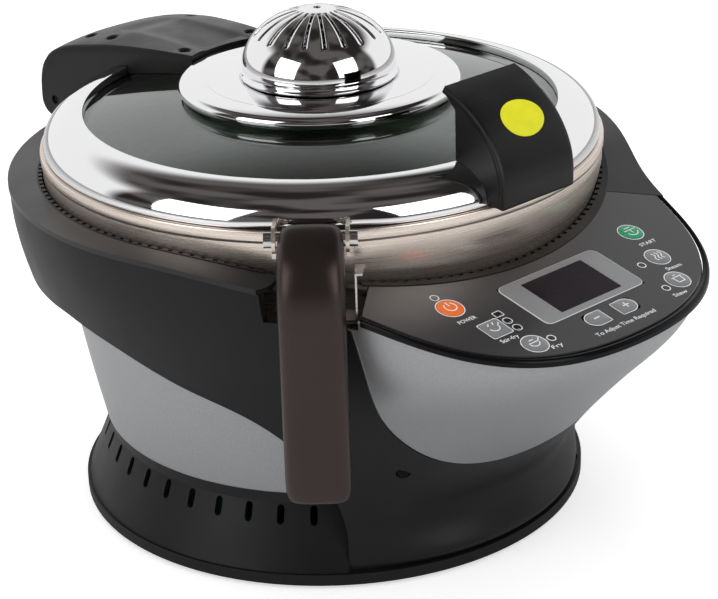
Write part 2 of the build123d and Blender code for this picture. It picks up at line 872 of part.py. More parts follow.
def gear_case_lid():
    """Upper half of the gear case."""
    low = gear_level + gear_thickness + 1
    lid = Pos(0, 0, low) * extrude(gear_case_plan(0), 2.5)
    lid += post(output_radius + 5, low, low + 8)
    lid -= post(output_radius - running_gap, 0, far)
    return lid - post(2.5 + running_gap, 0, far, gear_spacing(), 0)


def power_board():
    """Supply board on posts at the left of the base."""
    floor_top = foot_height + tray_floor
    board = vertical_box(-120, -58, -40, 40, floor_top + 8, floor_top + 9.6)
    for x, y in [(-114, -34), (-64, -34), (-114, 34), (-64, 34)]:
        board += post(3, floor_top, floor_top + 8, x, y)
    board += vertical_box(-112, -84, -26, 2, floor_top + 9.6, floor_top + 30)
    board += vertical_box(-78, -64, -30, -6, floor_top + 9.6, floor_top + 24)
    for y in (12, 24):
        board += post(5, floor_top + 9.6, floor_top + 26, -104, y)
    return board


def power_inlet():
    """Three-pin inlet in the back of the skirt, on a foot that stands on the tray."""
    half = inlet_width / 2
    front = inlet_face - inlet_length
    top = inlet_low + inlet_height
    block = vertical_box(-half, half, front, inlet_face, inlet_low, top)
    block -= vertical_box(3 - half, half - 3, inlet_face - 16, inlet_face + 1, inlet_low + 2.5, top - 2.5)
    for x, z in [(-7, -3), (0, 3), (7, -3)]:
        middle = inlet_low + inlet_height / 2 + z
        block += vertical_box(x - 1, x + 1, inlet_face - 17, inlet_face - 8, middle - 2.5, middle + 2.5)
    block += vertical_box(-8, 8, front - 3, front, inlet_low + 5, top - 5)
    return block + vertical_box(-10, 10, front, front + 6, foot_height + tray_floor, inlet_low + 1)


# Pot handle

def handle_frame(piece):
    """Turns a piece made about the pin, with +X outward, to the handle's place."""
    return around(Pos(pin_circle, 0, pin_height) * piece, handle_angle)


def pot_bracket():
    """Steel bracket on the pot's wall with two ears for the pin."""
    ear_inside = grip_width / 2 + 0.6
    reach = pin_radius + 3
    bracket = Part()
    for side in (-1, 1):
        low = side * ear_inside if side > 0 else -ear_inside - 2
        inner = pot_radius - pin_circle - 2
        ear = vertical_box(inner, 0, low, low + 2, -reach - 3, reach - 2)
        ear += Pos(0, low + 1, 0) * Rot(90, 0, 0) * Cylinder(reach, 2)
        bracket += ear
    bracket += vertical_box(pot_radius - pin_circle - 2, pot_radius - pin_circle + 3.2, -22, 22, -reach - 9, -reach)
    bracket -= Rot(90, 0, 0) * Cylinder(pin_radius - running_gap, 3 * grip_width)
    placed = handle_frame(bracket)
    rim = pot_rim_height
    flare = [
        (0, 0),
        (pot_radius + seat_gap, 0),
        (pot_radius + seat_gap, rim - pot_rim_band - seat_gap),
        (pot_rim_radius + seat_gap, rim - pot_rim_band - seat_gap),
        (pot_rim_radius + seat_gap, rim + 40),
        (0, rim + 40),
    ]
    return placed - turned_outline(flare)


def handle_pin():
    """Round pin through the bracket's ears and the grip's head."""
    pin = Rot(90, 0, 0) * Cylinder(pin_radius - 2 * running_gap, pin_length)
    return handle_frame(pin)


def handle_grip():
    """Long rounded grip that hangs on the pin."""
    inside = grip_offset
    outside = grip_offset + grip_thickness
    low = -grip_length + 8
    head = 8.5
    edges = [
        ThreePointArc((-head * 0.8, -head * 0.6), (-head * 0.7, head * 0.714), (head * 0.25, head * 0.968)),
        Spline((head * 0.25, head * 0.968), (outside - 6, 1.0), (outside, -22), tangents=((1, -0.1), (0, -1))),
        Line((outside, -22), (outside, low)),
        Line((outside, low), (inside, low)),
        Line((inside, low), (inside, -28)),
        Spline((inside, -28), (inside - 6, -15), (-head * 0.8, -head * 0.6), tangents=((0, 1), (-1, 0.8))),
    ]
    face = Plane.XZ * make_face(Curve() + edges)
    grip = extrude(face, grip_width / 2, both=True)
    upright = grip.edges().filter_by(lambda edge: abs(edge.center().Y) > grip_width / 2 - 0.1)
    grip = fillet(upright, 5.5)
    foot_edges = grip.edges().filter_by(lambda edge: edge.center().Z < low + 0.3)
    grip = fillet(foot_edges, 4.0) if len(foot_edges) == 2 else grip
    grip -= Rot(90, 0, 0) * Cylinder(pin_radius, 2 * grip_width)
    return handle_frame(grip)


def notch_liner():
    """Steel lining of the passage that the handle hangs in."""
    inner = deck_bore_radius + deck_collar + seat_gap
    half = notch_half_width - seat_gap
    low = deck_level - notch_depth + seat_gap
    top = deck_level - 1
    end = shell_top_radius - 1
    liner = vertical_box(inner, end, half - sheet, half, low, top)
    liner += vertical_box(inner, end, 8 - half, half, low, low + sheet)
    liner += vertical_box(inner, end, half - sheet, half + strip_width, top - sheet, top)
    return around(liner, handle_angle) - panel_wedge(-seam_gap)


# Lid

def lid_ring():
    """Domed chrome ring that frames the glass."""
    width = lid_radius - lid_opening_radius
    rise = lid_crest - lid_lip
    wall = 1.2
    seat = glass_height(lid_opening_radius)
    edges = [
        EllipticalCenterArc((lid_opening_radius, lid_lip), width, rise, arc_size=90),
        Line((lid_opening_radius, lid_crest), (lid_opening_radius, seat + seat_gap)),
        Line((lid_opening_radius, seat + seat_gap), (lid_opening_radius + wall, seat + seat_gap)),
        Line((lid_opening_radius + wall, seat + seat_gap), (lid_opening_radius + wall, lid_crest - wall)),
        EllipticalCenterArc(
            (lid_opening_radius + wall, lid_lip), width - 2 * wall, rise - wall, arc_size=90
        ),
        Line((lid_radius - wall, lid_lip), (lid_radius, lid_lip)),
    ]
    return turned(*edges)


def lid_gasket():
    """Soft ring that holds the glass's edge and closes on the pot's rim."""
    edge = lid_opening_radius + 4
    seat = glass_height(edge)
    low = pot_rim_height - 4
    skirt = pot_ledge_radius - 2
    inner = lid_opening_radius - 4
    under = seat - glass_thickness
    points = [
        (inner, under - 2.5),
        (inner, under - seat_gap),
        (edge + seat_gap, under - seat_gap),
        (edge + seat_gap, seat - 1.0),
        (edge + 5, seat - 1.0),
        (lid_radius - 1.2 - seat_gap, lid_lip),
        (skirt, lid_lip - seat_gap),
        (skirt, low),
        (skirt - 2.5, low),
        (skirt - 3.5, lid_lip),
        (edge + 3.5, under - 2.5),
    ]
    return turned_outline(points)


def lid_glass():
    """Domed glass with a hole in the middle for the vent."""
    edge = lid_opening_radius + 4
    bore = 30.0
    middle = (edge + bore) / 2
    top = ThreePointArc((bore, glass_height(bore)), (middle, glass_height(middle)), (edge, glass_height(edge)))
    low = ThreePointArc(
        (edge, glass_height(edge) - glass_thickness),
        (middle, glass_height(middle) - glass_thickness),
        (bore, glass_height(bore) - glass_thickness),
    )
    edges = [
        top,
        Line((edge, glass_height(edge)), (edge, glass_height(edge) - glass_thickness)),
        low,
        Line((bore, glass_height(bore) - glass_thickness), (bore, glass_height(bore))),
    ]
    return turned(*edges)


def plate_seat():
    """Height of the centre plate's lower edge, just over the glass."""
    return glass_height(centre_plate_radius - 8) + seat_gap


def centre_plate():
    """Chrome plate with a rolled edge, in the middle of the glass."""
    low = plate_seat()
    edge = centre_plate_radius
    roll = 4.0
    top = low + 2 * roll
    wall = 1.0
    neck = dome_radius - 2
    crown = plate_crown
    edges = [
        ThreePointArc((edge - roll, low), (edge, low + roll), (edge - roll, top)),
        ThreePointArc((edge - roll, top), ((edge + neck) / 2, (top + crown) / 2 + 0.6), (neck, crown)),
        Line((neck, crown), (22, crown)),
        Line((22, crown), (22, crown - wall)),
        Line((22, crown - wall), (neck, crown - wall)),
        ThreePointArc(
            (neck, crown - wall), ((edge + neck) / 2, (top + crown) / 2 + 0.6 - wall), (edge - roll, top - wall)
        ),
        ThreePointArc((edge - roll, top - wall), (edge - wall, low + roll), (edge - roll, low + wall)),
        Line((edge - roll, low + wall), (edge - roll - 4, low + wall)),
        Line((edge - roll - 4, low + wall), (edge - roll - 4, low)),
        Line((edge - roll - 4, low), (edge - roll, low)),
    ]
    return turned(*edges)


def vent_neck():
    """Threaded tube that clamps the plate and the glass together."""
    crown = plate_crown
    low = glass_height(30) - glass_thickness
    neck = dome_radius - 4
    tube = post(21.5, low - 6, crown + 1) - post(18, 0, far)
    nut = post(34, low - 3.5, low - seat_gap) - post(18, 0, far)
    spacer = post(29.5, low - seat_gap, crown - 1.0) - post(18, 0, far)
    collar = post(neck, crown, dome_base - 1.0) - post(18, 0, far)
    return tube + nut + spacer + collar


def dome_profile(radius, base, rise):
    """Outer line of the vent dome, from its edge to its crown."""
    return EllipticalCenterArc((0, base), radius, rise, arc_size=90)


def dome_shell(radius, base, rise, wall):
    """A hollow dome that is open below."""
    edges = [
        dome_profile(radius, base, rise),
        Line((0, base + rise), (0, base + rise - wall)),
        EllipticalCenterArc((0, base), radius - wall, rise - wall, arc_size=90),
        Line((radius - wall, base), (radius, base)),
    ]
    return turned(*edges)


def dome_slots(radius, base, rise, count, width):
    """Radial slots in a dome's flank."""
    bar = vertical_box(radius * 0.38, radius * 0.93, -width / 2, width / 2, base, base + rise + 5)
    return [around(bar, 360 * step / count) for step in range(count)]


def vent_dome():
    """Slotted chrome dome that turns on the neck to open and close the vents."""
    dome = dome_shell(dome_radius, dome_base, dome_rise, 1.2)
    dome -= dome_slots(dome_radius, dome_base, dome_rise, dome_slot_count, 3.0)
    dome += post(3.5, dome_base - 1, dome_base + dome_rise - 0.8)
    return dome - post(1.5, dome_base + dome_rise - 4, far)


def vent_shutter():
    """Inner dome with matching slots, fixed on the neck."""
    inset = 2.2
    shutter = dome_shell(dome_radius - inset, dome_base, dome_rise - inset, 1.0)
    shutter -= dome_slots(dome_radius - inset, dome_base, dome_rise - inset, dome_slot_count, 3.4)
    shutter -= post(3.5 + 0.6, 0, far)
    foot = post(dome_radius - inset, dome_base - 1.0, dome_base + 0.5) - post(24, 0, far)
    bridge = vertical_box(-30, 30, -4, 4, dome_base - 1.0, dome_base + 0.5)
    bridge -= post(3.5 + running_gap, 0, far)
    return shutter + foot + bridge


def lid_handle():
    """Arched handle on the front of the lid's ring, hollow on its inner side."""
    back = -lid_radius - lid_handle_reach
    low = lid_lip + seat_gap
    peak = lid_lip + lid_handle_height
    tip = -lid_opening_radius + 9
    half = lid_handle_half_width
    wall = lid_handle_wall

    def section(inset):
        foot = (back + inset, lid_lip - 6 if inset else low)
        crown = (tip, peak - inset)
        edges = [
            Line(foot, (back + inset, lid_lip + 13)),
            Spline(
                (back + inset, lid_lip + 13),
                (back + 8.5 + inset * 0.9, lid_lip + 35 - inset * 0.4),
                (back + 24 + inset * 0.6, lid_lip + 51 - inset * 0.8),
                crown,
                tangents=((0, 1), (1, 0.35)),
            ),
        ]
        return edges, foot, crown

    edges, foot, crown = section(0)
    inner_line = -lid_opening_radius + 1.0
    edges.append(Line(crown, (crown[0], crown[1] - 4)))
    edges.append(Line((crown[0], crown[1] - 4), (inner_line, crown[1] - 12)))
    edges.append(Line((inner_line, crown[1] - 12), (inner_line, low)))
    edges.append(Line((inner_line, low), foot))
    handle = side_prism(edges, -half, half)
    edges, foot, crown = section(wall)
    edges.append(Line(crown, (crown[0] + 10, crown[1])))
    edges.append(Line((crown[0] + 10, crown[1]), (crown[0] + 10, lid_lip + 24)))
    edges.append(Line((crown[0] + 10, lid_lip + 24), (inner_line - 14, lid_lip + 24)))
    edges.append(Line((inner_line - 14, lid_lip + 24), foot))
    hollow = side_prism(edges, -half + wall, half - wall) & vertical_box(-far, far, -far, far, lid_crest + 3, far)
    return handle - hollow - lid_top_envelope(seat_gap)


# Hinge

def cover_half_width(y, inset):
    """Half width of the hinge cover, which widens to the back."""
    share = (y - centre_plate_radius) / (hinge_rear - centre_plate_radius)
    return cover_front_half_width + (cover_rear_half_width - cover_front_half_width) * share - inset


def cover_plan(inset):
    """The hinge cover's outline from above, as a tall solid."""
    front = centre_plate_radius - 30
    back = rear_reach - inset
    points = [
        (-cover_half_width(front, inset), front),
        (cover_half_width(front, inset), front),
        (cover_half_width(back, inset), back),
        (-cover_half_width(back, inset), back),
    ]
    return extrude(make_face(Polyline(*points, close=True)), far)


def cover_side(inset):
    """The hinge cover's outline from the side, as a wide solid."""
    crest = lid_crest
    back = rear_reach - inset
    reach = hinge_rear_reach - inset
    corner = 0.7071 * reach
    front = centre_plate_radius - 30
    low = hinge_height - 11
    top = [(y, roof_height(y, inset)) for y, rise in cover_roof]
    edges = [
        Spline(*top, tangents=((1, -0.02), (1, -0.28))),
        Spline(top[-1], (back - 7, crest - 7 - 0.6 * inset), (back, hinge_height), tangents=((1, -0.28), (0, -1))),
        ThreePointArc((back, hinge_height), (hinge_rear + corner, hinge_height - corner), (hinge_rear, hinge_height - reach)),
        Line((hinge_rear, hinge_height - reach), (hinge_rear - 14, low)),
        Line((hinge_rear - 14, low), (hinge_rear - 14, deck_level + moving_gap)),
        Line((hinge_rear - 14, deck_level + moving_gap), (front, deck_level + moving_gap)),
        Line((front, deck_level + moving_gap), top[0]),
    ]
    return side_prism(edges)


def roof_height(y, drop=0.0):
    """Height of the hinge cover's roof at a distance behind the pot's axis."""
    for (y0, h0), (y1, h1) in zip(cover_roof, cover_roof[1:]):
        if y <= y1:
            return lid_crest + h0 + (h1 - h0) * (y - y0) / (y1 - y0) - drop
    return lid_crest + cover_roof[-1][1] - drop


def hinge_cover():
    """Plastic cover over the hinge arm, open below."""
    outer = cover_side(0) & cover_plan(0)
    hollow = cover_side(cover_wall) & cover_plan(cover_wall)
    flap = 0.71 * hinge_rear_reach
    hollow += vertical_box(-46, 46, hinge_rear - 20, hinge_rear + flap, hinge_height - 30, hinge_height)
    cover = outer - (hollow - post(centre_plate_radius + 1.5 + cover_wall, 0, far))
    groove = vertical_box(-19, 19, centre_plate_radius + 8, 196, 0, far)
    cover -= groove - cover_side(1.2)
    cover -= post(centre_plate_radius + 1.5, 0, far)
    for x, y, level in screw_rows:
        strap = lid_crest + level + strap_thickness
        for side in (-1, 1):
            cover += post(4.2, strap, roof_height(y, 1.5), side * x, y)
            cover -= post(3.4, roof_height(y, 2.4), far, side * x, y)
            cover -= post(1.7, strap - 1, far, side * x, y)
    cover -= lid_top_envelope(seat_gap)
    cover -= post(deck_bore_radius + deck_collar, 0, lid_lip)
    return cover - hinge_bore(hinge_pin_radius)


def cover_screws():
    """Six screws that hold the cover to the hinge arm."""
    screws = Part()
    for x, y, level in screw_rows:
        head = roof_height(y, 2.4)
        for side in (-1, 1):
            screws += post(3.1, head, head + 1.6, side * x, y)
            screws += post(1.6, lid_crest + level - 1.5, head, side * x, y)
    return screws


def hinge_arm():
    """Steel arm from the hinge pin over the lid's ring towards the centre plate."""
    back_level, ring_level, front_level = [lid_crest + row[2] for row in screw_rows]
    thick = strap_thickness
    bend = lid_radius + 9
    front = centre_plate_radius + 4.5
    joggle = lid_opening_radius - 12
    arm = vertical_box(-36, 36, joggle - thick, bend, ring_level, ring_level + thick)
    arm += vertical_box(-31, 31, front - 4, joggle, front_level, front_level + thick)
    arm += vertical_box(-31, 31, joggle - thick, joggle, ring_level, front_level + thick)
    arm += vertical_box(-36, 36, bend - thick, bend, back_level, ring_level + thick)
    arm += vertical_box(-43, 43, bend - thick, hinge_rear - 8, back_level, back_level + thick)
    arm -= post(front, 0, far)
    for side in (-1, 1):
        low = 40.0 if side > 0 else -43.0
        cheek = vertical_box(low, low + 3, bend - thick, hinge_rear - 5, hinge_height + 12, back_level + thick)
        cheek += vertical_box(low, low + 3, hinge_rear - 12, hinge_rear + 4, hinge_height, hinge_height + 16)
        cheek += Pos(low + 1.5, hinge_rear, hinge_height) * Rot(0, 90, 0) * Cylinder(8, 3)
        arm += cheek
    for x, y, level in screw_rows:
        for side in (-1, 1):
            arm -= post(1.6 + running_gap, 0, far, side * x, y)
    arm -= lid_top_envelope(seat_gap)
    return arm - hinge_bore(hinge_pin_radius)


def hinge_bore(radius):
    """A long cylinder on the hinge's axis."""
    return Pos(0, hinge_rear, hinge_height) * Rot(0, 90, 0) * Cylinder(radius, 4 * cover_rear_half_width)


def hinge_pin():
    """Pin across the hinge, its ends in the cover's walls."""
    length = 2 * cover_half_width(hinge_rear, 0.8)
    return Pos(0, hinge_rear, hinge_height) * Rot(0, 90, 0) * Cylinder(hinge_pin_radius - running_gap, length)


def hinge_bracket():
    """Fixed bracket on the back of the housing with two lugs for the pin."""
    wall = shell_top_radius + 0.8
    bracket = vertical_box(-39, 39, shell_top_radius - 12, hinge_rear - 13.5, hinge_height - 26, hinge_height - 4)
    for side in (-1, 1):
        low = 32.0 if side > 0 else -39.0
        lug = vertical_box(low, low + 7, shell_top_radius - 12, hinge_rear, hinge_height - 7, hinge_height + 4)
        lug += Pos(low + 3.5, hinge_rear, hinge_height) * Rot(0, 90, 0) * Cylinder(7.5, 7)
        bracket += lug
    bracket -= post(wall + seat_gap, 0, far)
    return bracket - hinge_bore(hinge_pin_radius)


def main():
    skin = housing_shell()
    pieces = {
        "rubber_feet": rubber_feet(),
        "base_tray": base_tray(),
        "vent_skirt": vent_skirt(),
        "silver_bowl": silver_bowl(),
        "upper_shell": upper_shell(skin),
        "chin_cover": chin_cover(skin),
        "housing_screws": housing_screws(),
        "deck_cover": deck_cover(),
        "panel_rim": panel_rim(),
        "panel_film": panel_film(),
        "panel_plate": panel_plate(),
        "led_lenses": led_lenses(),
        "screen_frame": screen_frame(),
        "screen_window": screen_window(),
        "display_module": display_module(),
        "control_board": control_board(),
        "inner_pot": inner_pot(),
        "spindle_bush": spindle_bush(),
        "spindle_seal": spindle_seal(),
        "pot_spindle": pot_spindle(),
        "stir_paddle": stir_paddle(),
        "heater_plate": heater_plate(),
        "heating_element": heating_element(),
        "heat_shield": heat_shield(),
        "temperature_probe": probe_body(),
        "probe_bracket": probe_bracket(),
        "probe_spring": probe_spring(),
        "drive_wheel": drive_wheel(),
        "output_shaft": output_shaft(),
        "drive_pinion": drive_pinion(),
        "drive_motor": drive_motor(),
        "gear_case": gear_case(),
        "gear_case_lid": gear_case_lid(),
        "power_board": power_board(),
        "power_inlet": power_inlet(),
        "pot_bracket": pot_bracket(),
        "handle_pin": handle_pin(),
        "handle_grip": handle_grip(),
        "notch_liner": notch_liner(),
        "lid_ring": lid_ring(),
        "lid_gasket": lid_gasket(),
        "lid_glass": lid_glass(),
        "centre_plate": centre_plate(),
        "vent_neck": vent_neck(),
        "vent_dome": vent_dome(),
        "vent_shutter": vent_shutter(),
        "lid_handle": lid_handle(),
        "hinge_cover": hinge_cover(),
        "cover_screws": cover_screws(),
        "hinge_arm": hinge_arm(),
        "hinge_pin": hinge_pin(),
        "hinge_bracket": hinge_bracket(),
    }
    for name, x, y, kind in keys:
        pieces[name] = key_piece(x, y, kind)
    os.makedirs("parts", exist_ok=True)
    for name, piece in pieces.items():
        placed = Pos(0, -plan_middle, 0) * piece
        export_step(placed, f"parts/{name}.step")


main()
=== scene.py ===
# %% [markdown]
# # Dressing a stirring multicooker
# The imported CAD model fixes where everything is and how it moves. This lesson gives it the looks of
# the real cooker: mirror chrome on the lid, brushed steel on the pot, satin black plastic, silver
# paint and a dark printed panel. It starts by loading the frame and keeping its box for later.

# %% Load the frame
from math import radians

import bmesh
import bpy
import numpy as np
from mathutils import Matrix, Vector


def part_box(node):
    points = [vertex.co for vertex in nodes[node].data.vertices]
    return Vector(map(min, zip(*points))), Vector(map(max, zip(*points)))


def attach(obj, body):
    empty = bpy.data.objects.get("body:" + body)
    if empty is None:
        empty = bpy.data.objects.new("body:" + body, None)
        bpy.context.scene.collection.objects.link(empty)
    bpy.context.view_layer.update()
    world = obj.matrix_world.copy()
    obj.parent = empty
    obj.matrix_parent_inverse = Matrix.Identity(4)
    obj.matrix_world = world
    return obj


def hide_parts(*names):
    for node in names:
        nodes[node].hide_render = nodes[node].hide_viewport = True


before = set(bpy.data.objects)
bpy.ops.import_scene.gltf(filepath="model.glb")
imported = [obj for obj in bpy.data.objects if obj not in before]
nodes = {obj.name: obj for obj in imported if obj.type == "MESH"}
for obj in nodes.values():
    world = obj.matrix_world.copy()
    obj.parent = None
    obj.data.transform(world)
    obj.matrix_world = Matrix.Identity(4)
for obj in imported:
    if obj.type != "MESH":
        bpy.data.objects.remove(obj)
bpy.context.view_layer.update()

# %% [markdown]
# The pot's axis is the natural centre for most pieces, so it is measured from the CAD lid ring. All
# sizes below are written in millimetres round that axis, with the panel at -Y, as on a drawing. One
# function moves such points into Blender's metres.

# %% Measure the pot's axis
ring_low, ring_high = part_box("lid_ring")
pot_axis_y = (ring_low.y + ring_high.y) / 2
TURN = 2 * np.pi


def to_metres(points):
    """Millimetres about the pot's axis to metres in the frame: p / 1000, then y + the axis's y."""
    moved = np.asarray(points, float) / 1000.0
    moved[..., 1] += pot_axis_y
    return moved


print("pot axis at y =", round(pot_axis_y, 4))

# %% [markdown]
# The camera stands where the photographer stood: to the front left and a little above, a long way
# off, with a long lens. Its place was solved from the ellipses of the lid and the housing. The three
# columns of its rotation are its right, its up and the direction behind it.

# %% Place the camera
def add_object(name, data):
    """A new object that shows a mesh, a lamp or a camera, linked into the scene."""
    added = bpy.data.objects.new(name, data)
    bpy.context.scene.collection.objects.link(added)
    return added


camera_place = [-0.8319, -0.9370 + pot_axis_y, 0.659]
forward = np.array([0.6195, 0.6765, -0.3983])
level_right = np.array([0.7375, -0.6753, 0.0])
level_up = np.array([0.2689, 0.2938, 0.9173])
roll = radians(-1.92)
camera_right = np.cos(roll) * level_right + np.sin(roll) * level_up
camera_up = -np.sin(roll) * level_right + np.cos(roll) * level_up
camera_data = bpy.data.cameras.new("photo_camera")
camera_data.lens = 108.95
camera_data.sensor_width = 36.0
camera = add_object("photo_camera", camera_data)
placed = np.eye(4)
placed[:3, :3] = np.column_stack([camera_right, camera_up, -forward])
placed[:3, 3] = camera_place
camera.matrix_world = Matrix(placed.tolist())
bpy.context.scene.camera = camera
bpy.context.scene.view_settings.view_transform = "Standard"
print("camera at", [round(value, 3) for value in camera.location])

# %% [markdown]
# ## Surfaces from arrays
# Every new piece is a grid of points worked out with numpy: one parameter runs along a profile, the
# other round it or along it. `surface` joins neighbouring points into four-sided faces, closes the
# seams, merges the points of a pole and marks edges that turn sharply.

# %% Build a mesh from a grid
def surface(name, points, wrap_rows=False, wrap_columns=False, keep=None, sharp=38, body="base",
            finish=None):
    """A mesh whose vertex (i, j) is points[i, j]; the normal is columns' direction x rows' direction."""
    rows, width = points.shape[:2]
    index = np.arange(rows * width).reshape(rows, width)
    if wrap_rows:
        index = np.concatenate([index, index[:1]], axis=0)
    if wrap_columns:
        index = np.concatenate([index, index[:, :1]], axis=1)
    faces = np.stack([index[:-1, :-1], index[:-1, 1:], index[1:, 1:], index[1:, :-1]], axis=-1)
    faces = faces.reshape(-1, 4) if keep is None else faces[keep]
    mesh = bpy.data.meshes.new(name)
    mesh.from_pydata(to_metres(points).reshape(-1, 3).tolist(), [], faces.tolist())
    tool = bmesh.new()
    tool.from_mesh(mesh)
    bmesh.ops.remove_doubles(tool, verts=tool.verts, dist=2e-6)
    loose = [vertex for vertex in tool.verts if not vertex.link_faces]
    bmesh.ops.delete(tool, geom=loose, context="VERTS")
    tool.to_mesh(mesh)
    tool.free()
    mesh.polygons.foreach_set("use_smooth", np.ones(len(mesh.polygons), bool))
    mesh.set_sharp_from_angle(angle=radians(sharp))
    piece = add_object(name, mesh)
    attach(piece, body)
    if finish is not None:
        mesh.materials.append(finish)
    return piece


def close_ends(points, axis):
    """Adds a row (axis 0) or a column (axis 1) at both ends, all of it at the middle of that end."""
    across = 1 - axis
    ends = [points.take([side], axis=axis).mean(axis=across, keepdims=True) for side in (0, -1)]
    first, last = (np.repeat(end, points.shape[across], axis=across) for end in ends)
    return np.concatenate([first, points, last], axis=axis)


def rounded_section(corners, radius, steps=6):
    """A closed outline; each corner P is cut by a curve (1-s)^2 A + 2 s (1-s) P + s^2 B."""
    corner = np.asarray(corners, float)
    before = np.roll(corner, 1, axis=0) - corner
    after = np.roll(corner, -1, axis=0) - corner
    reach = np.broadcast_to(np.asarray(radius, float), (len(corner),))
    before_length = np.linalg.norm(before, axis=1)
    after_length = np.linalg.norm(after, axis=1)
    cut = np.minimum(reach, 0.49 * np.minimum(before_length, after_length))[:, None]
    start = corner + before / before_length[:, None] * cut
    end = corner + after / after_length[:, None] * cut
    s = np.linspace(0, 1, steps)[None, :, None]
    curve = (1 - s) ** 2 * start[:, None] + 2 * s * (1 - s) * corner[:, None] + s**2 * end[:, None]
    return curve.reshape(-1, 2)


def spin_points(section, angles):
    """Points of a turned piece: (r cos a, r sin a, z) for each section point (r, z) and angle a."""
    radius = section[:, 0][:, None]
    height = section[:, 1][:, None] + np.zeros_like(angles)
    return np.stack([radius * np.cos(angles), radius * np.sin(angles), height], axis=-1)


def lathe(name, section, body, finish, columns=240, closed=True, sharp=38):
    """A turned piece from its half section, given outer side upwards first."""
    angles = np.arange(columns) / columns * TURN
    return surface(name, spin_points(section, angles), wrap_rows=closed, wrap_columns=True, body=body,
                   finish=finish, sharp=sharp)


def ellipse_arc(centre, a, b, start, end, steps=24):
    """Points centre + (a cos t, b sin t) for t from start to end in degrees."""
    t = np.radians(np.linspace(start, end, steps))
    return np.column_stack([centre[0] + a * np.cos(t), centre[1] + b * np.sin(t)])


print("surface helpers ready")

# %% [markdown]
# ## Finishes
# A finish is a Principled shader with a little variation in it. Object coordinates are metres here,
# so a noise scale of 1000 gives a grain of about a millimetre. Constant values are set straight on
# the shader; only what varies over the surface comes through nodes.

# %% Make a finish
def make_finish(name, colour, roughness, metallic=0.0, **values):
    """A Principled material; extra values are set on the shader's sockets by name."""
    material = bpy.data.materials.new(name)
    material.use_nodes = True
    shader = material.node_tree.nodes["Principled BSDF"]
    shader.inputs["Base Color"].default_value = (*colour, 1.0)
    shader.inputs["Roughness"].default_value = roughness
    shader.inputs["Metallic"].default_value = metallic
    for key, value in values.items():
        shader.inputs[key.replace("_", " ").title().replace("Ior", "IOR")].default_value = value
    return material


def add_noise(material, scale, detail=4.0, stretch=(1, 1, 1)):
    """A noise pattern on Object coordinates, stretched by a Mapping node; returns its output."""
    tree = material.node_tree
    coordinates = tree.nodes.new("ShaderNodeTexCoord")
    mapping = tree.nodes.new("ShaderNodeMapping")
    mapping.inputs["Scale"].default_value = stretch
    noise = tree.nodes.new("ShaderNodeTexNoise")
    noise.inputs["Scale"].default_value = scale
    noise.inputs["Detail"].default_value = detail
    tree.links.new(coordinates.outputs["Object"], mapping.inputs["Vector"])
    tree.links.new(mapping.outputs["Vector"], noise.inputs["Vector"])
    return noise.outputs["Fac"]


def vary_roughness(material, pattern, low, high):
    """Roughness runs from low to high where the pattern runs from 0.3 to 0.7."""
    tree = material.node_tree
    spread = tree.nodes.new("ShaderNodeMapRange")
    spread.inputs["From Min"].default_value = 0.3
    spread.inputs["From Max"].default_value = 0.7
    spread.inputs["To Min"].default_value = low
    spread.inputs["To Max"].default_value = high
    tree.links.new(pattern, spread.inputs["Value"])
    tree.links.new(spread.outputs["Result"], tree.nodes["Principled BSDF"].inputs["Roughness"])


def vary_colour(material, pattern, dark, light):
    """Colour mixes from dark to light with the pattern."""
    tree = material.node_tree
    ramp = tree.nodes.new("ShaderNodeValToRGB")
    ramp.color_ramp.elements[0].position = 0.3
    ramp.color_ramp.elements[1].position = 0.7
    ramp.color_ramp.elements[0].color = (*dark, 1)
    ramp.color_ramp.elements[1].color = (*light, 1)
    tree.links.new(pattern, ramp.inputs["Fac"])
    tree.links.new(ramp.outputs["Color"], tree.nodes["Principled BSDF"].inputs["Base Color"])


def add_bump(material, pattern, strength, distance):
    """Small relief from a pattern; the distance is in metres."""
    tree = material.node_tree
    bump = tree.nodes.new("ShaderNodeBump")
    bump.inputs["Strength"].default_value = strength
    bump.inputs["Distance"].default_value = distance
    tree.links.new(pattern, bump.inputs["Height"])
    tree.links.new(bump.outputs["Normal"], tree.nodes["Principled BSDF"].inputs["Normal"])


print("finish helpers ready")

# %% [markdown]
# The housing is moulded in black plastic with a fine spark-eroded grain, which scatters the light
# into a soft grey sheen. The lid's handle and hinge cover are the same plastic, a little glossier,
# and the pot's handle is a browner phenolic.

# %% Black plastics
housing_black = make_finish("housing_black", (0.0095, 0.0095, 0.0105), 0.42, specular_ior_level=0.22)
vary_roughness(housing_black, add_noise(housing_black, 35.0), 0.38, 0.46)
add_bump(housing_black, add_noise(housing_black, 1500.0, 2.0), 0.12, 0.0003)

deck_black = make_finish("deck_black", (0.016, 0.016, 0.0175), 0.36, specular_ior_level=0.35)
vary_roughness(deck_black, add_noise(deck_black, 30.0), 0.30, 0.37)
add_bump(deck_black, add_noise(deck_black, 1600.0, 2.0), 0.08, 0.0003)

handle_black = make_finish("handle_black", (0.0085, 0.0078, 0.0078), 0.36, specular_ior_level=0.3)
vary_roughness(handle_black, add_noise(handle_black, 60.0), 0.32, 0.40)
add_bump(handle_black, add_noise(handle_black, 1300.0, 2.0), 0.10, 0.0003)

# The housing screws and the hinge pin get a near-black, rough, barely reflecting finish. It is painted
# shade for the dark recesses they sit in, not the colour of their metal.
recess_shade_black = make_finish("recess_shade_black", (0.003, 0.003, 0.003), 0.6, specular_ior_level=0.1)
vary_roughness(recess_shade_black, add_noise(recess_shade_black, 60.0), 0.55, 0.65)

grip_brown = make_finish("grip_brown", (0.0105, 0.0075, 0.0070), 0.34, specular_ior_level=0.55,
                         specular_tint=(1.0, 0.78, 0.72, 1.0))
vary_colour(grip_brown, add_noise(grip_brown, 18.0), (0.009, 0.0066, 0.0062), (0.014, 0.0102, 0.0096))
add_bump(grip_brown, add_noise(grip_brown, 900.0, 3.0), 0.16, 0.0004)

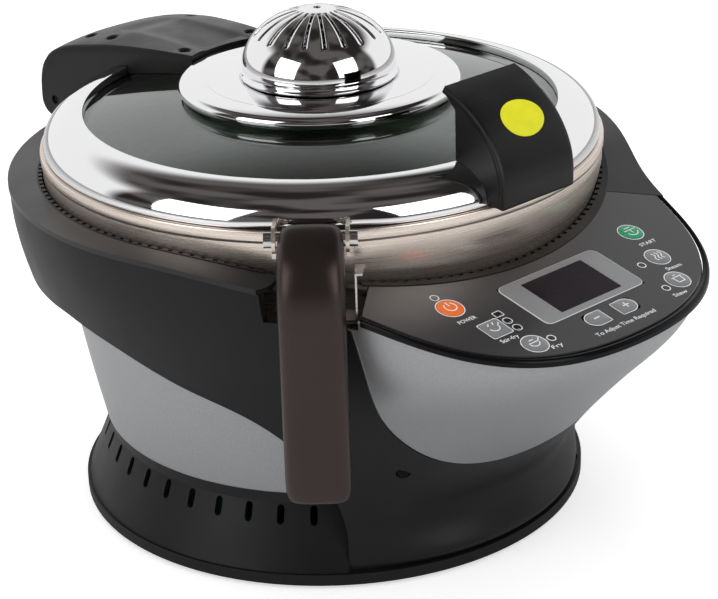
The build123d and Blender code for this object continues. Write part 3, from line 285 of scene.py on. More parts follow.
tray_black = make_finish("tray_black", (0.008, 0.008, 0.0085), 0.5, specular_ior_level=0.25)
add_bump(tray_black, add_noise(tray_black, 800.0, 2.0), 0.15, 0.0003)
foot_rubber = make_finish("foot_rubber", (0.02, 0.02, 0.02), 0.8)
add_bump(foot_rubber, add_noise(foot_rubber, 1200.0, 3.0), 0.3, 0.0003)
gloss_black = make_finish("gloss_black", (0.004, 0.004, 0.0045), 0.2, specular_ior_level=0.12,
                          coat_weight=0.05, coat_roughness=0.05)
add_bump(gloss_black, add_noise(gloss_black, 90.0, 1.0), 0.03, 0.0005)
print("black plastics:", housing_black.name, deck_black.name, handle_black.name, grip_brown.name)

# %% [markdown]
# The bowl and the chin are sprayed silver: a grey base with fine aluminium flakes under a satin
# lacquer. The flakes are a very small noise in colour; metallic is partial, because paint is never
# as bright as bare metal.

# %% Silver paint
silver_paint = make_finish("silver_paint", (0.34, 0.345, 0.35), 0.36, 0.75)
vary_colour(silver_paint, add_noise(silver_paint, 2600.0, 2.0), (0.30, 0.305, 0.315), (0.43, 0.435, 0.445))
add_bump(silver_paint, add_noise(silver_paint, 1800.0, 2.0), 0.06, 0.0002)
print("silver paint:", silver_paint.name)

# %% [markdown]
# Chrome is nearly a mirror: metallic 1 with a low roughness. Faint wiping marks vary it slightly.
# Brushed steel carries fine lines. On the pot they run round it, so the noise is stretched: slow
# along X and Y, fast along Z.

# %% Metals
chrome = make_finish("chrome", (0.86, 0.86, 0.87), 0.05, 1.0)
vary_roughness(chrome, add_noise(chrome, 40.0, 6.0, (1, 1, 3)), 0.025, 0.075)
add_bump(chrome, add_noise(chrome, 6.0, 1.0), 0.02, 0.002)

pot_steel = make_finish("pot_steel", (0.90, 0.79, 0.70), 0.40, 0.92, anisotropic=0.6)
vary_roughness(pot_steel, add_noise(pot_steel, 30.0, 5.0, (0.4, 0.4, 60)), 0.22, 0.38)
vary_colour(pot_steel, add_noise(pot_steel, 20.0, 5.0, (0.4, 0.4, 70)), (0.85, 0.745, 0.66),
            (0.91, 0.80, 0.715))
add_bump(pot_steel, add_noise(pot_steel, 30.0, 4.0, (0.4, 0.4, 90)), 0.10, 0.0004)

liner_steel = make_finish("liner_steel", (0.62, 0.59, 0.57), 0.22, 1.0)
vary_roughness(liner_steel, add_noise(liner_steel, 60.0, 4.0, (1, 1, 20)), 0.16, 0.3)
pin_steel = make_finish("pin_steel", (0.7, 0.69, 0.68), 0.18, 1.0)
vary_roughness(pin_steel, add_noise(pin_steel, 400.0), 0.12, 0.26)
sheet_steel = make_finish("sheet_steel", (0.55, 0.55, 0.55), 0.35, 1.0)
vary_roughness(sheet_steel, add_noise(sheet_steel, 80.0, 4.0, (1, 12, 1)), 0.28, 0.45)
cast_alloy = make_finish("cast_alloy", (0.48, 0.48, 0.48), 0.55, 1.0)
add_bump(cast_alloy, add_noise(cast_alloy, 500.0, 4.0), 0.4, 0.0005)
element_steel = make_finish("element_steel", (0.22, 0.20, 0.18), 0.5, 1.0)
vary_colour(element_steel, add_noise(element_steel, 60.0), (0.16, 0.14, 0.12), (0.3, 0.27, 0.24))
bush_brass = make_finish("bush_brass", (0.72, 0.55, 0.28), 0.28, 1.0)
vary_roughness(bush_brass, add_noise(bush_brass, 300.0), 0.2, 0.36)
print("metals:", chrome.name, pot_steel.name, liner_steel.name)

# %% [markdown]
# The lid is smoked glass. In the photograph it reads mostly as a grey mirror with a dark green depth,
# so the shader transmits with a dark green-grey tint and keeps a clean surface reflection.

# %% Glass, rubber and small finishes
smoked_glass = make_finish("smoked_glass", (0.20, 0.26, 0.235), 0.02, transmission_weight=1.0, ior=1.8)
vary_roughness(smoked_glass, add_noise(smoked_glass, 25.0), 0.01, 0.04)
gasket_rubber = make_finish("gasket_rubber", (0.03, 0.03, 0.03), 0.6)
add_bump(gasket_rubber, add_noise(gasket_rubber, 700.0), 0.2, 0.0003)
seal_red = make_finish("seal_red", (0.36, 0.06, 0.03), 0.5)
add_bump(seal_red, add_noise(seal_red, 700.0), 0.2, 0.0003)
board_green = make_finish("board_green", (0.02, 0.12, 0.05), 0.4)
vary_colour(board_green, add_noise(board_green, 300.0), (0.015, 0.10, 0.04), (0.03, 0.15, 0.06))
gear_nylon = make_finish("gear_nylon", (0.68, 0.65, 0.58), 0.45)
vary_colour(gear_nylon, add_noise(gear_nylon, 50.0), (0.64, 0.61, 0.54), (0.72, 0.69, 0.62))
lens_clear = make_finish("lens_clear", (0.02, 0.02, 0.022), 0.15, coat_weight=0.5)
add_bump(lens_clear, add_noise(lens_clear, 900.0), 0.05, 0.0002)
print("glass:", smoked_glass.name)

# %% [markdown]
# The panel's overlay is a dark grey film with a slight metallic depth. The display's frame is a light
# grey print, its window near-black with a violet cast, and the keys are grey, orange and green.

# %% Panel finishes
panel_grey = make_finish("panel_grey", (0.052, 0.053, 0.057), 0.30, 0.35, coat_weight=0.25,
                         coat_roughness=0.2)
vary_colour(panel_grey, add_noise(panel_grey, 2200.0, 2.0), (0.048, 0.046, 0.050), (0.066, 0.063, 0.067))
display_grey = make_finish("display_grey", (0.29, 0.295, 0.30), 0.38, 0.3)
vary_colour(display_grey, add_noise(display_grey, 1800.0), (0.27, 0.275, 0.28), (0.31, 0.315, 0.32))
display_dark = make_finish("display_dark", (0.009, 0.006, 0.009), 0.2, specular_ior_level=0.12)
vary_colour(display_dark, add_noise(display_dark, 45.0), (0.010, 0.007, 0.011), (0.016, 0.010, 0.015))
key_grey = make_finish("key_grey", (0.25, 0.255, 0.26), 0.38, 0.25)
vary_colour(key_grey, add_noise(key_grey, 1500.0), (0.23, 0.235, 0.24), (0.27, 0.275, 0.28))
key_orange = make_finish("key_orange", (0.86, 0.16, 0.012), 0.4)
vary_colour(key_orange, add_noise(key_orange, 900.0), (0.82, 0.145, 0.010), (0.90, 0.18, 0.016))
key_green = make_finish("key_green", (0.02, 0.30, 0.14), 0.4)
vary_colour(key_green, add_noise(key_green, 900.0), (0.018, 0.28, 0.13), (0.026, 0.33, 0.155))
display_line_grey = make_finish("display_line_grey", (0.30, 0.305, 0.31), 0.4, 0.2)
vary_colour(display_line_grey, add_noise(display_line_grey, 900.0), (0.28, 0.285, 0.29),
            (0.33, 0.335, 0.34))
print_white = make_finish("print_white", (0.80, 0.81, 0.82), 0.5)
vary_colour(print_white, add_noise(print_white, 900.0), (0.76, 0.77, 0.78), (0.84, 0.85, 0.86))
sticker_yellow = make_finish("sticker_yellow", (0.80, 0.78, 0.01), 0.35)
vary_colour(sticker_yellow, add_noise(sticker_yellow, 120.0), (0.77, 0.75, 0.008), (0.84, 0.82, 0.015))
print("panel finishes:", panel_grey.name, display_grey.name)

# %% [markdown]
# Each carried-over CAD node takes one of these finishes by its name. The loop only assigns materials;
# it never touches a mesh.

# %% Give every CAD node its finish
node_finishes = [
    (foot_rubber, "rubber_feet"),
    (tray_black, "base_tray panel_plate gear_case gear_case_lid power_inlet"),
    (recess_shade_black, "housing_screws hinge_pin"),
    (housing_black, "vent_skirt upper_shell"),
    # painted shade: the screws and the hinge pin are coloured near-black for the shade of their recesses
    (silver_paint, "silver_bowl chin_cover"),
    (deck_black, "deck_cover"),
    (gloss_black, "panel_rim"),
    (panel_grey, "panel_film"),
    (lens_clear, "led_lenses"),
    (display_grey, "screen_frame"),
    (display_dark, "screen_window"),
    (board_green, "display_module control_board power_board"),
    (pot_steel, "inner_pot pot_bracket"),
    (bush_brass, "spindle_bush"),
    (seal_red, "spindle_seal"),
    (pin_steel, "pot_spindle probe_spring output_shaft drive_pinion handle_pin"),
    (handle_black, "stir_paddle lid_handle hinge_cover"),
    (cast_alloy, "heater_plate"),
    (element_steel, "heating_element"),
    (sheet_steel, "heat_shield temperature_probe probe_bracket drive_motor"),
    (sheet_steel, "cover_screws hinge_arm hinge_bracket"),
    (gear_nylon, "drive_wheel"),
    (grip_brown, "handle_grip"),
    (liner_steel, "notch_liner"),
    (chrome, "lid_ring centre_plate vent_neck vent_dome vent_shutter"),
    (gasket_rubber, "lid_gasket"),
    (smoked_glass, "lid_glass"),
    (key_orange, "power_key"),
    (key_green, "start_key"),
    (key_grey, "stir_fry_key fry_key steam_key stew_key minus_key plus_key"),
]
finish_of = {node: finish for finish, names in node_finishes for node in names.split()}
for node, finish in finish_of.items():
    nodes[node].data.materials.clear()
    nodes[node].data.materials.append(finish)
print("finished nodes:", len(finish_of), "of", len(nodes))

# %% [markdown]
# ## The lid's chrome ring
# A spun ring with a quarter-ellipse section. Near the pot's handle its lip lifts a little to let the
# handle's bracket through, so the section's height is a function of the angle.

# %% Chrome ring
lip_height, crest_height = 229.4, 249.7
handle_angle = -134.1
ring_outer, ring_inner = 168.3, 142.8
ring_wall, ring_drop = 1.1, 244.9
lift_height, lift_spread = 2.2, 13.0


def lip_lift(angles):
    """Lift of the lip near the pot's handle: 2.2 exp(-(d / 13 degrees)^4), d the angle from the handle."""
    away = (np.degrees(angles) - handle_angle + 180) % 360 - 180
    return lift_height * np.exp(-((away / lift_spread) ** 4))


arc_foot = lip_height + 0.8
ring_width, ring_rise = ring_outer - ring_inner, crest_height - arc_foot
ring_section = np.vstack([
    [[ring_outer - 2.2, arc_foot], [ring_outer - 1.2, lip_height + 0.05]],
    [[ring_outer - 0.3, lip_height + 0.1]],
    ellipse_arc((ring_inner + 0.8, arc_foot), ring_width - 0.8, ring_rise, 0, 90, 40),
    [[ring_inner + 0.3, crest_height - 0.2], [ring_inner, crest_height - 0.9], [ring_inner, ring_drop]],
    [[ring_inner + ring_wall, ring_drop], [ring_inner + ring_wall, crest_height - 1.6]],
    ellipse_arc((ring_inner + ring_wall, arc_foot), ring_width - 3.3, ring_rise - 1.8, 90, 0, 24),
])
ring_angles = np.arange(360) / 360 * TURN
ring_points = spin_points(ring_section, ring_angles)
lift_share = np.clip((crest_height - ring_points[..., 2]) / (crest_height - lip_height), 0, 1)
ring_points[..., 2] += lift_share * lip_lift(ring_angles)[None]
chrome_ring = surface("chrome_ring", ring_points, True, True, body="lid", finish=chrome, sharp=50)
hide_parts("lid_ring")
print("chrome ring faces:", len(chrome_ring.data.polygons))

# %% [markdown]
# ## Glass, centre plate and vent
# The glass is a shallow dome, close to a cap of a sphere with a radius of 669 mm. The plate over its
# middle is a spun disc with a rolled edge that dips where it meets the neck.

# %% Domed glass
glass_crown, glass_sphere = 259.8, 668.7
glass_hole, glass_edge, glass_thickness = 30.0, 146.6, 4.0


def glass_height(radius):
    """Height of the glass at a radius: crown - r^2 / (2 R)."""
    return glass_crown - radius**2 / (2 * glass_sphere)


glass_radii = np.linspace(glass_hole, glass_edge, 24)
glass_top = np.column_stack([glass_radii, glass_height(glass_radii)])
glass_section = np.vstack([glass_top - [0, glass_thickness], glass_top[::-1]])
domed_glass = lathe("domed_glass", glass_section, "lid", smoked_glass, 192)
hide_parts("lid_glass")
print("glass rises from", round(glass_height(glass_edge), 1), "to", round(glass_height(glass_hole), 1))

# %% Centre plate with a rolled edge
plate_low, plate_edge = 255.7, 85.5
roll_centre = (plate_edge - 5.0, plate_low + 4.3)
plate_top = [[70, 264.6], [56, 265.6], [50.5, 266.0], [48.2, 266.0], [46.2, 265.3], [36, 265.2]]
plate_section = np.vstack([
    [[plate_edge - 9, plate_low + 0.1], [plate_edge - 5, plate_low]],
    ellipse_arc(roll_centre, 5.0, 4.3, -90, 70, 26),
    rounded_section(plate_top, 2.0)[:30],
    [[22, 265.2], [22, 264.2], [46, 264.3], [56, 264.4], [70, 263.4], [plate_edge - 5, 262.8]],
    ellipse_arc(roll_centre, 3.9, 3.2, 60, -80, 12),
])
chrome_plate = lathe("chrome_plate", plate_section, "lid", chrome, 288)
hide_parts("centre_plate")
print("plate rows:", len(plate_section))

# %% [markdown]
# The dome over the vents is one spun cap with twenty slots. A column of faces is left out where a
# slot is. A slot keeps its width towards the middle, so the two columns beside it are bent: their
# angle is asin(w / r). The cap turns over an inner cap with the same slots.

# %% Slotted vent dome
dome_base, dome_rise, dome_radius, slot_count = 270.5, 34.5, 46.5, 20
dome_rows, dome_hole, slot_half_width, columns_per_rib = 46, 2.4, 0.95, 7
slot_rows = (18, 39)


def dome_grid(rim):
    """Points of a rim and a dome with r = R cos t and z = base + H sin t, and which faces are kept."""
    t = np.linspace(0, np.arccos(dome_hole / dome_radius), dome_rows)
    r = np.concatenate([rim[:, 0], dome_radius * np.cos(t)])
    z = np.concatenate([rim[:, 1], dome_base + dome_rise * np.sin(t)])
    pitch = TURN / slot_count
    slot_angle = np.arcsin(np.clip(slot_half_width / np.maximum(r, 3.5), 0, 1))
    edge = np.minimum(slot_angle, 0.33 * pitch)[:, None]
    rib = edge + np.linspace(0, 1, columns_per_rib) * (pitch - 2 * edge)
    turn = (np.arange(slot_count) * pitch)[:, None]
    angles = (rib[:, None, :] + turn).reshape(len(r), -1)
    points = spin_points(np.column_stack([r, z]), angles)
    row = np.arange(len(r) - 1)[:, None] - len(rim)
    between_ribs = np.arange(angles.shape[1]) % columns_per_rib == columns_per_rib - 1
    return points, ~((row >= slot_rows[0]) & (row < slot_rows[1]) & between_ribs)


dome_rim = np.array([[47.6, -1.2], [48.0, -0.9], [47.9, -0.3], [46.9, 0.1]]) + [0, dome_base]
dome_points, dome_keep = dome_grid(dome_rim)
vent_cap = surface("vent_cap", dome_points, wrap_columns=True, keep=dome_keep, body="vent_cap",
                   finish=chrome, sharp=50)
thickness = vent_cap.modifiers.new("sheet", "SOLIDIFY")
thickness.thickness = 0.001
thickness.offset = -1
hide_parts("vent_dome")
print("dome faces:", len(vent_cap.data.polygons))

# %% Neck under the dome
neck_corners = [[37, 265.0], [47.6, 265.2], [46.2, 267.2], [45.4, 269.0], [44.6, 269.2], [37, 269.2]]
neck_section = rounded_section(neck_corners, 0.8)
neck_band = lathe("neck_band", neck_section, "lid", chrome, 240)
print("neck rows:", len(neck_section))

# %% [markdown]
# ## The steel pot
# Only its top shows: a straight wall and a band round the rim that the lid rests over. The rest
# of the pot is turned from the same section, so nothing is hollow when the lid opens.

# %% Pot wall and rim
pot_outer = np.array([
    [0, 88.0], [80, 88.0], [98, 89.5], [117, 96], [128, 105], [136, 115], [142, 127], [146, 139],
    [151, 152], [154.7, 165], [160, 180], [164.5, 193], [168, 205], [169.5, 213.0], [169.5, 221.6],
    [169.5, 222.4], [169.9, 222.7], [170.2, 223.0], [170.3, 223.6], [170.3, 228.0], [170.1, 228.7],
    [169.6, 229.1], [167.6, 229.1], [166.8, 228.9], [166.5, 228.4], [166.8, 227.9], [167.6, 227.8],
    [168.0, 226.4],
])
pot_inner = np.array([
    [168.0, 213], [166.5, 205], [163, 193], [158.4, 180], [153.2, 165], [149.5, 152], [144.5, 139],
    [140.5, 127], [134.3, 115.5], [126.5, 106.2], [115.8, 97.3], [97, 91], [80, 89.6], [0, 89.6],
])
pot_section = np.vstack([pot_outer, pot_inner])
steel_pot = lathe("steel_pot", pot_section, "base", pot_steel, 288, closed=False, sharp=60)
hub_section = rounded_section([[0, 89], [13, 89], [13, 122], [10, 122], [10, 90], [0, 90]], 0.6)
pot_hub = lathe("pot_hub", hub_section, "base", pot_steel, 96, closed=False)
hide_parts("inner_pot")
print("pot faces:", len(steel_pot.data.polygons))

# %% [markdown]
# ## Helpers for the front
# The panel is a plane that falls 13.1 degrees towards the front. Marks and keys on it are given by
# their place seen from above and by offsets along the plane: a across, b up the slope, h out of it.
# A smooth line through a few measured points comes from a Catmull-Rom curve.

# %% Panel plane, deck and smooth lines
deck_level, panel_tilt = 213.0, radians(13.1)
slope_start, slope_full = 45.0, 105.0
shell_radius, nose_reach, nose_angle, nose_power = 190.8, 65.5, 33.8, 3.645


def deck_height(y):
    """Level deck, then an arc of radius 60 / sin 13.1 between y -45 and -105, then the panel's plane."""
    bend = (slope_full - slope_start) / np.sin(panel_tilt)
    y = np.asarray(y, float)
    arc = deck_level - bend + np.sqrt(np.maximum(bend**2 - (y + slope_start) ** 2, 1.0))
    plane = deck_level + (y + (slope_start + slope_full) / 2) * np.tan(panel_tilt)
    return np.where(y > -slope_start, deck_level, np.where(y > -slope_full, arc, plane))


def on_panel(x, y, a, b, h):
    """Points on the panel: (x + a, y + b cos s - h sin s, z(y) + b sin s + h cos s)."""
    a, b, h = np.broadcast_arrays(np.asarray(a, float), b, h)
    slope_y = y + b * np.cos(panel_tilt) - h * np.sin(panel_tilt)
    slope_z = deck_height(y) + b * np.sin(panel_tilt) + h * np.cos(panel_tilt)
    return np.stack([x + a, slope_y, slope_z], axis=-1)


def nose_outline(away):
    """Outer radius of the deck at an angle from the front: R + N exp(-(angle / 33.8)^3.645)."""
    return shell_radius + nose_reach * np.exp(-((np.abs(away) / nose_angle) ** nose_power))


def smooth_line(points, steps=8):
    """Catmull-Rom curve: each span is a cubic through its two points with its neighbours' slopes."""
    point = np.asarray(points, float)
    padded = np.vstack([2 * point[0] - point[1], point, 2 * point[-1] - point[-2]])
    p0, p1, p2, p3 = padded[:-3, None], padded[1:-2, None], padded[2:-1, None], padded[3:, None]
    t = np.linspace(0, 1, steps, endpoint=False)[None, :, None]
    square, cube = 2 * p0 - 5 * p1 + 4 * p2 - p3, 3 * p1 - p0 - 3 * p2 + p3
    curve = 0.5 * (2 * p1 + (p2 - p0) * t + square * t**2 + cube * t**3)
    return np.vstack([curve.reshape(-1, point.shape[1]), point[-1:]])


print("panel level at y -200:", round(float(deck_height(-200)), 2))

# %% [markdown]
# ## Comb round the pot
# The gap between the deck and the pot is closed by a ring with short radial slots that let heat out.
# One grid makes it all: each of 150 periods has a tooth and a slot, whose inner rows lie 2.2 mm lower.
# It leaves out the pot handle's passage, where both ends close on their middle point.

# %% Slotted ring round the pot
comb_periods, tooth_share, comb_end_gap = 150, 0.58, 8.6
comb_outer, comb_foot, slot_depth, comb_bevel = 173.6, 6.0, 2.2, 0.3
comb_middle, pot_clearance, comb_proud, comb_lip = 172.0, 0.7, 0.35, 2.5
period_share = np.array([0, tooth_share, tooth_share, 1.0])
span_start = radians(handle_angle + comb_end_gap)
span = TURN - radians(2 * comb_end_gap)
comb_share = (np.arange(comb_periods)[:, None] + period_share).ravel() / comb_periods
comb_angles = span_start + comb_share * span
comb_low = np.tile([0.0, 0.0, 1.0, 1.0], comb_periods)
comb_deck = deck_height(comb_middle * np.sin(comb_angles))
pot_wall = pot_outer[9:14]
comb_inner = np.interp(comb_deck, pot_wall[:, 1], pot_wall[:, 0]) + pot_clearance
comb_top, comb_base = comb_deck + comb_proud, comb_deck - comb_foot
slot_top = comb_top - slot_depth * comb_low
comb_rows = [
    (comb_inner, comb_base), (comb_inner, slot_top - comb_bevel), (comb_inner + 0.25, slot_top),
    (comb_inner + comb_lip, slot_top), (comb_inner + comb_lip, comb_top),
    (comb_outer - comb_bevel, comb_top),
    (comb_outer, comb_top - comb_bevel), (comb_outer, comb_base),
]
comb_points = np.stack([
    np.stack(np.broadcast_arrays(r * np.cos(comb_angles), r * np.sin(comb_angles), z), axis=-1)
    for r, z in comb_rows
])
pot_comb = surface("pot_comb", close_ends(comb_points, 1), wrap_rows=True, body="base",
                   finish=housing_black, sharp=30)
print("comb faces:", len(pot_comb.data.polygons))

# %% [markdown]
# ## Panel edge
# A gloss band with a rounded top runs round the nose. Its rows keep a constant distance from the
# outline, and each row ends on the straight seam between deck and panel: |x| = (-64 - y) tan 51.

# %% Gloss band round the panel
band_offset = np.array([0.0, 0.0, 0.2, 0.7, 1.3, 2.0, 2.7, 3.2, 4.3])
band_drop = np.array([-3.6, -1.3, -0.6, 0.05, 0.28, 0.28, 0.05, -0.3, -0.6])
seam_apex, seam_half_angle = 64.0, radians(51.0)


def band_line(angles):
    """x and y of the band's rows at angles from the front, one row for each offset."""
    radius = nose_outline(angles) - band_offset[:, None]
    return radius * np.sin(np.radians(angles)), -radius * np.cos(np.radians(angles))


seam_angles = np.linspace(30, 45, 400)
seam_x, seam_y = band_line(seam_angles)
beyond = seam_x - (-seam_apex - seam_y) * np.tan(seam_half_angle) > 0
seam_end = seam_angles[np.argmax(beyond, axis=1)]
band_x, band_y = band_line(seam_end[:, None] * np.linspace(-1, 1, 181))
band_points = np.stack([band_x, band_y, deck_height(band_y) + band_drop[:, None]], axis=-1)
panel_band = surface("panel_band", close_ends(band_points, 1), wrap_rows=True, body="base",
                     finish=gloss_black, sharp=50)
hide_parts("panel_rim")
print("seam at", np.round(seam_end[[0, -1]], 1), "degrees")

# %% [markdown]
# ## Keys
# Each key is a low crowned cap that moves in the panel, inside a printed white outline. An outline
# is a closed loop of (a, b) offsets; a cap shrinks it towards the middle while the height follows
# 1 - s^4, so the crown is flat in the middle and falls at the edge.

# %% Outlines and caps
def circle_loop(radius, steps=48):
    """Points (R cos t, R sin t)."""
    t = np.arange(steps) / steps * TURN
    return np.column_stack([radius * np.cos(t), radius * np.sin(t)])


def box_loop(half_width, half_height, corner):
    """A rectangle with rounded corners, anticlockwise from the lower left."""
    quadrants = np.array([[-1, -1], [1, -1], [1, 1], [-1, 1]])
    return rounded_section(quadrants * [half_width, half_height], corner, 8)


def tongue_loop(half_width, half_height, side):
    """A D shape: a half ellipse on one side (-1 left, 1 right) and a rounded square end on the other."""
    t = np.radians(np.linspace(-90, 90, 17))
    bow = np.column_stack([half_width * 0.1 + half_width * 0.9 * np.cos(t), half_height * np.sin(t)])
    corners = np.array([[-0.8, 1], [-1, 1], [-1, -1], [-0.8, -1]]) * [half_width, half_height]
    flat = rounded_section(corners, [0.05, 2.0, 2.0, 0.05], 5)
    loop = np.vstack([bow, flat])
    return loop if side > 0 else (loop * [-1, 1])[::-1]


def key_cap(name, node, x, y, loop, crown, finish):
    """A cap from a loop: rows at shares s of it, at height crown (1 - s^4), then a wall downwards."""
    share = np.array([0.001, 0.3, 0.55, 0.72, 0.84, 0.92, 0.97, 1.0])
    height = np.concatenate([0.25 + crown * (1 - share**4), [-0.6, -3.0, -3.0]])
    share = np.concatenate([share, [1.0, 1.0, 0.001]])
    rows = share[::-1, None, None] * loop[None]
    points = on_panel(x, y, rows[..., 0], rows[..., 1], height[::-1, None])
    cap = surface(name, points, wrap_columns=True, body=node, finish=finish, sharp=40)
    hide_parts(node)
    return cap


def printed_band(name, x, y, outer, inner, finish, low=-0.05, high=0.09):
    """A flat printed ring between two loops with as many points."""
    a = np.stack([outer, outer, inner, inner])
    h = np.array([low, high, high, low])[:, None]
    points = on_panel(x, y, a[..., 0], a[..., 1], h)
    band = surface(name, points, wrap_rows=True, wrap_columns=True, finish=finish)
    return band


keys = {
    "power": (-74.5, -182.0, circle_loop(7.5), 0.8, key_orange, "key_orange"),
    "start": (74.5, -182.0, circle_loop(7.2), 0.8, key_green, "key_green"),
    "fry": (-59.3, -229.7, circle_loop(7.1), 0.7, key_grey, "key_grey"),
    "steam": (67.5, -208.0, circle_loop(7.1), 0.7, key_grey, "key_grey"),
    "stew": (59.0, -229.7, circle_loop(7.1), 0.7, key_grey, "key_grey"),
    "stir_fry": (-67.5, -208.5, box_loop(7.0, 6.8, 1.6), 0.6, key_grey, "key_grey"),
    "minus": (-12.0, -231.5, tongue_loop(6.9, 5.3, -1), 0.5, key_grey, "key_grey"),
    "plus": (12.0, -231.5, tongue_loop(6.9, 5.3, 1), 0.5, key_grey, "key_grey"),
}
outline_outer, outline_inner = 0.85, 0.25
for name, (x, y, loop, crown, finish, slot) in keys.items():
    key_cap(name + "_cap", name + "_key", x, y, loop, crown, finish)
    length = np.linalg.norm(loop, axis=1, keepdims=True)
    outer, inner = loop * (1 + outline_outer / length), loop * (1 + outline_inner / length)
    printed_band(name + "_outline", x, y, outer, inner, print_white)
print("keys:", len(keys))

# %% [markdown]
# ## Marks on the panel
# Small rings stand round the lights, numbered badges beside the stir-fry key show its three steps,
# and two fine lines frame the display.

# %% Light rings, badges and display lines
lights = {
    "power": (-74.8, -170.4), "fry": (-47.5, -230.7), "steam": (52.5, -209.0), "stew": (46.3, -232.0),
}
for name, (x, y) in lights.items():
    printed_band(name + "_light_ring", x, y, circle_loop(2.75, 32), circle_loop(2.1, 32), print_white)
badges = {"1": (-56.0, -199.7), "2": (-56.0, -206.8), "3": (-56.0, -214.0)}
for name, (x, y) in badges.items():
    outer = box_loop(3.1, 2.5, 1.2) if name == "1" else circle_loop(2.9, 32)
    inner = box_loop(2.6, 2.0, 0.9) if name == "1" else circle_loop(2.4, 32)
    printed_band("badge_" + name, x, y, outer, inner, print_white)
display_y = -202.4
printed_band("display_line", 0, display_y, box_loop(40.0, 20.4, 5.2), box_loop(39.1, 19.5, 4.6),
             print_white, -0.1, 0.5)
printed_band("window_line", 0, display_y, box_loop(25.4, 16.5, 1.2), box_loop(24.8, 15.9, 1.0),
             display_line_grey, 0.3, 0.66)
print("rings and badges:", len(lights) + len(badges))

# %% [markdown]
# The words are plain function names. Each is a text curve turned into a mesh, laid on the panel by
# its start point and the direction of its baseline, and given a paper-thin wall.

# %% Words on the panel
word_lift, word_wall, word_weight = 0.10, 0.03, 0.006


def words(name, text, start, end, size):
    """Text whose baseline runs from start to end (seen from above), squeezed to that length."""
    curve = bpy.data.curves.new(name, "FONT")
    curve.body = text
    curve.size = size
    curve.extrude = word_wall
    curve.offset = word_weight * size
    source = bpy.data.objects.new(name, curve)
    mesh = bpy.data.meshes.new_from_object(source)
    bpy.data.objects.remove(source)
    spot = np.empty(len(mesh.vertices) * 3)
    mesh.vertices.foreach_get("co", spot)
    spot = spot.reshape(-1, 3)
    first, last = np.array(start, float), np.array(end, float)
    reach = last - first
    length = np.linalg.norm(reach)
    along = reach / length
    across = np.array([-along[1], along[0]])
    width = spot[:, 0].max() - spot[:, 0].min()
    flat = (spot[:, [0]] - spot[:, 0].min()) * (length / width) * along + spot[:, [1]] * across
    placed = on_panel(first[0], first[1], flat[:, 0], flat[:, 1], spot[:, 2] + word_lift)
    mesh.vertices.foreach_set("co", to_metres(placed).ravel())
    mesh.materials.append(print_white)
    mark = add_object(name, mesh)
    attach(mark, "base")
    return mark


panel_words = {
    "word_power": ("POWER", (-81.0, -195.9), (-68.2, -196.2), 3.9),
    "word_start": ("START", (68.0, -195.9), (81.0, -196.4), 3.9),
    "word_steam": ("Steam", (61.5, -220.9), (73.3, -221.5), 4.3),
    "word_stew": ("Stew", (43.8, -241.0), (54.4, -241.4), 4.3),
    "word_stir_fry": ("Stir-fry", (-74.0, -220.4), (-61.4, -220.8), 4.3),
    "word_fry": ("Fry", (-54.0, -238.6), (-46.4, -238.8), 4.3),
    "word_time": ("To Adjust Time Required", (-24.4, -243.8), (23.0, -244.4), 4.2),
    "number_1": ("1", (-56.7, -201.3), (-55.4, -201.3), 3.6),
    "number_2": ("2", (-57.0, -208.4), (-55.0, -208.4), 3.4),
    "number_3": ("3", (-57.0, -215.6), (-55.0, -215.6), 3.4),
}
for name, (text, start, end, size) in panel_words.items():
    words(name, text, start, end, size)
print("words on the panel ready")

# %% [markdown]
# The keys carry simple signs: a ring with a stroke for power, a bar and a cross for time, and plain
# strokes that stand for a pan, steam and a pot. Each sign is a set of thin bars that lie on the cap.

# %% Signs on the keys
def bars(name, node, x, y, lines, half_width, lift):
    """Thin bars along open (a, b) lines on a key, each line carried as a rectangle section."""
    for number, line in enumerate(lines):
        point = np.asarray(line, float)
        step = np.gradient(point, axis=0)
        step /= np.linalg.norm(step, axis=1, keepdims=True)
        side = np.column_stack([-step[:, 1], step[:, 0]]) * half_width
        edge = np.stack([point - side, point - side, point + side, point + side])
        h = np.broadcast_to(np.array([lift - 0.3, lift, lift, lift - 0.3])[:, None], edge.shape[:2])
        rows = on_panel(x, y, edge[..., 0], edge[..., 1], h)
        sign = surface(f"{name}_{number}", close_ends(rows, 1), wrap_rows=True, body=node,
                       finish=print_white, sharp=30)


def arc_line(radius, start, end, steps=24, middle=(0.0, 0.0)):
    """Points of an arc between two angles in degrees."""
    t = np.radians(np.linspace(start, end, steps))
    return np.column_stack([middle[0] + radius * np.cos(t), middle[1] + radius * np.sin(t)])


def straight(a0, b0, a1, b1):
    """A straight line in three points."""
    return np.linspace([a0, b0], [a1, b1], 3)


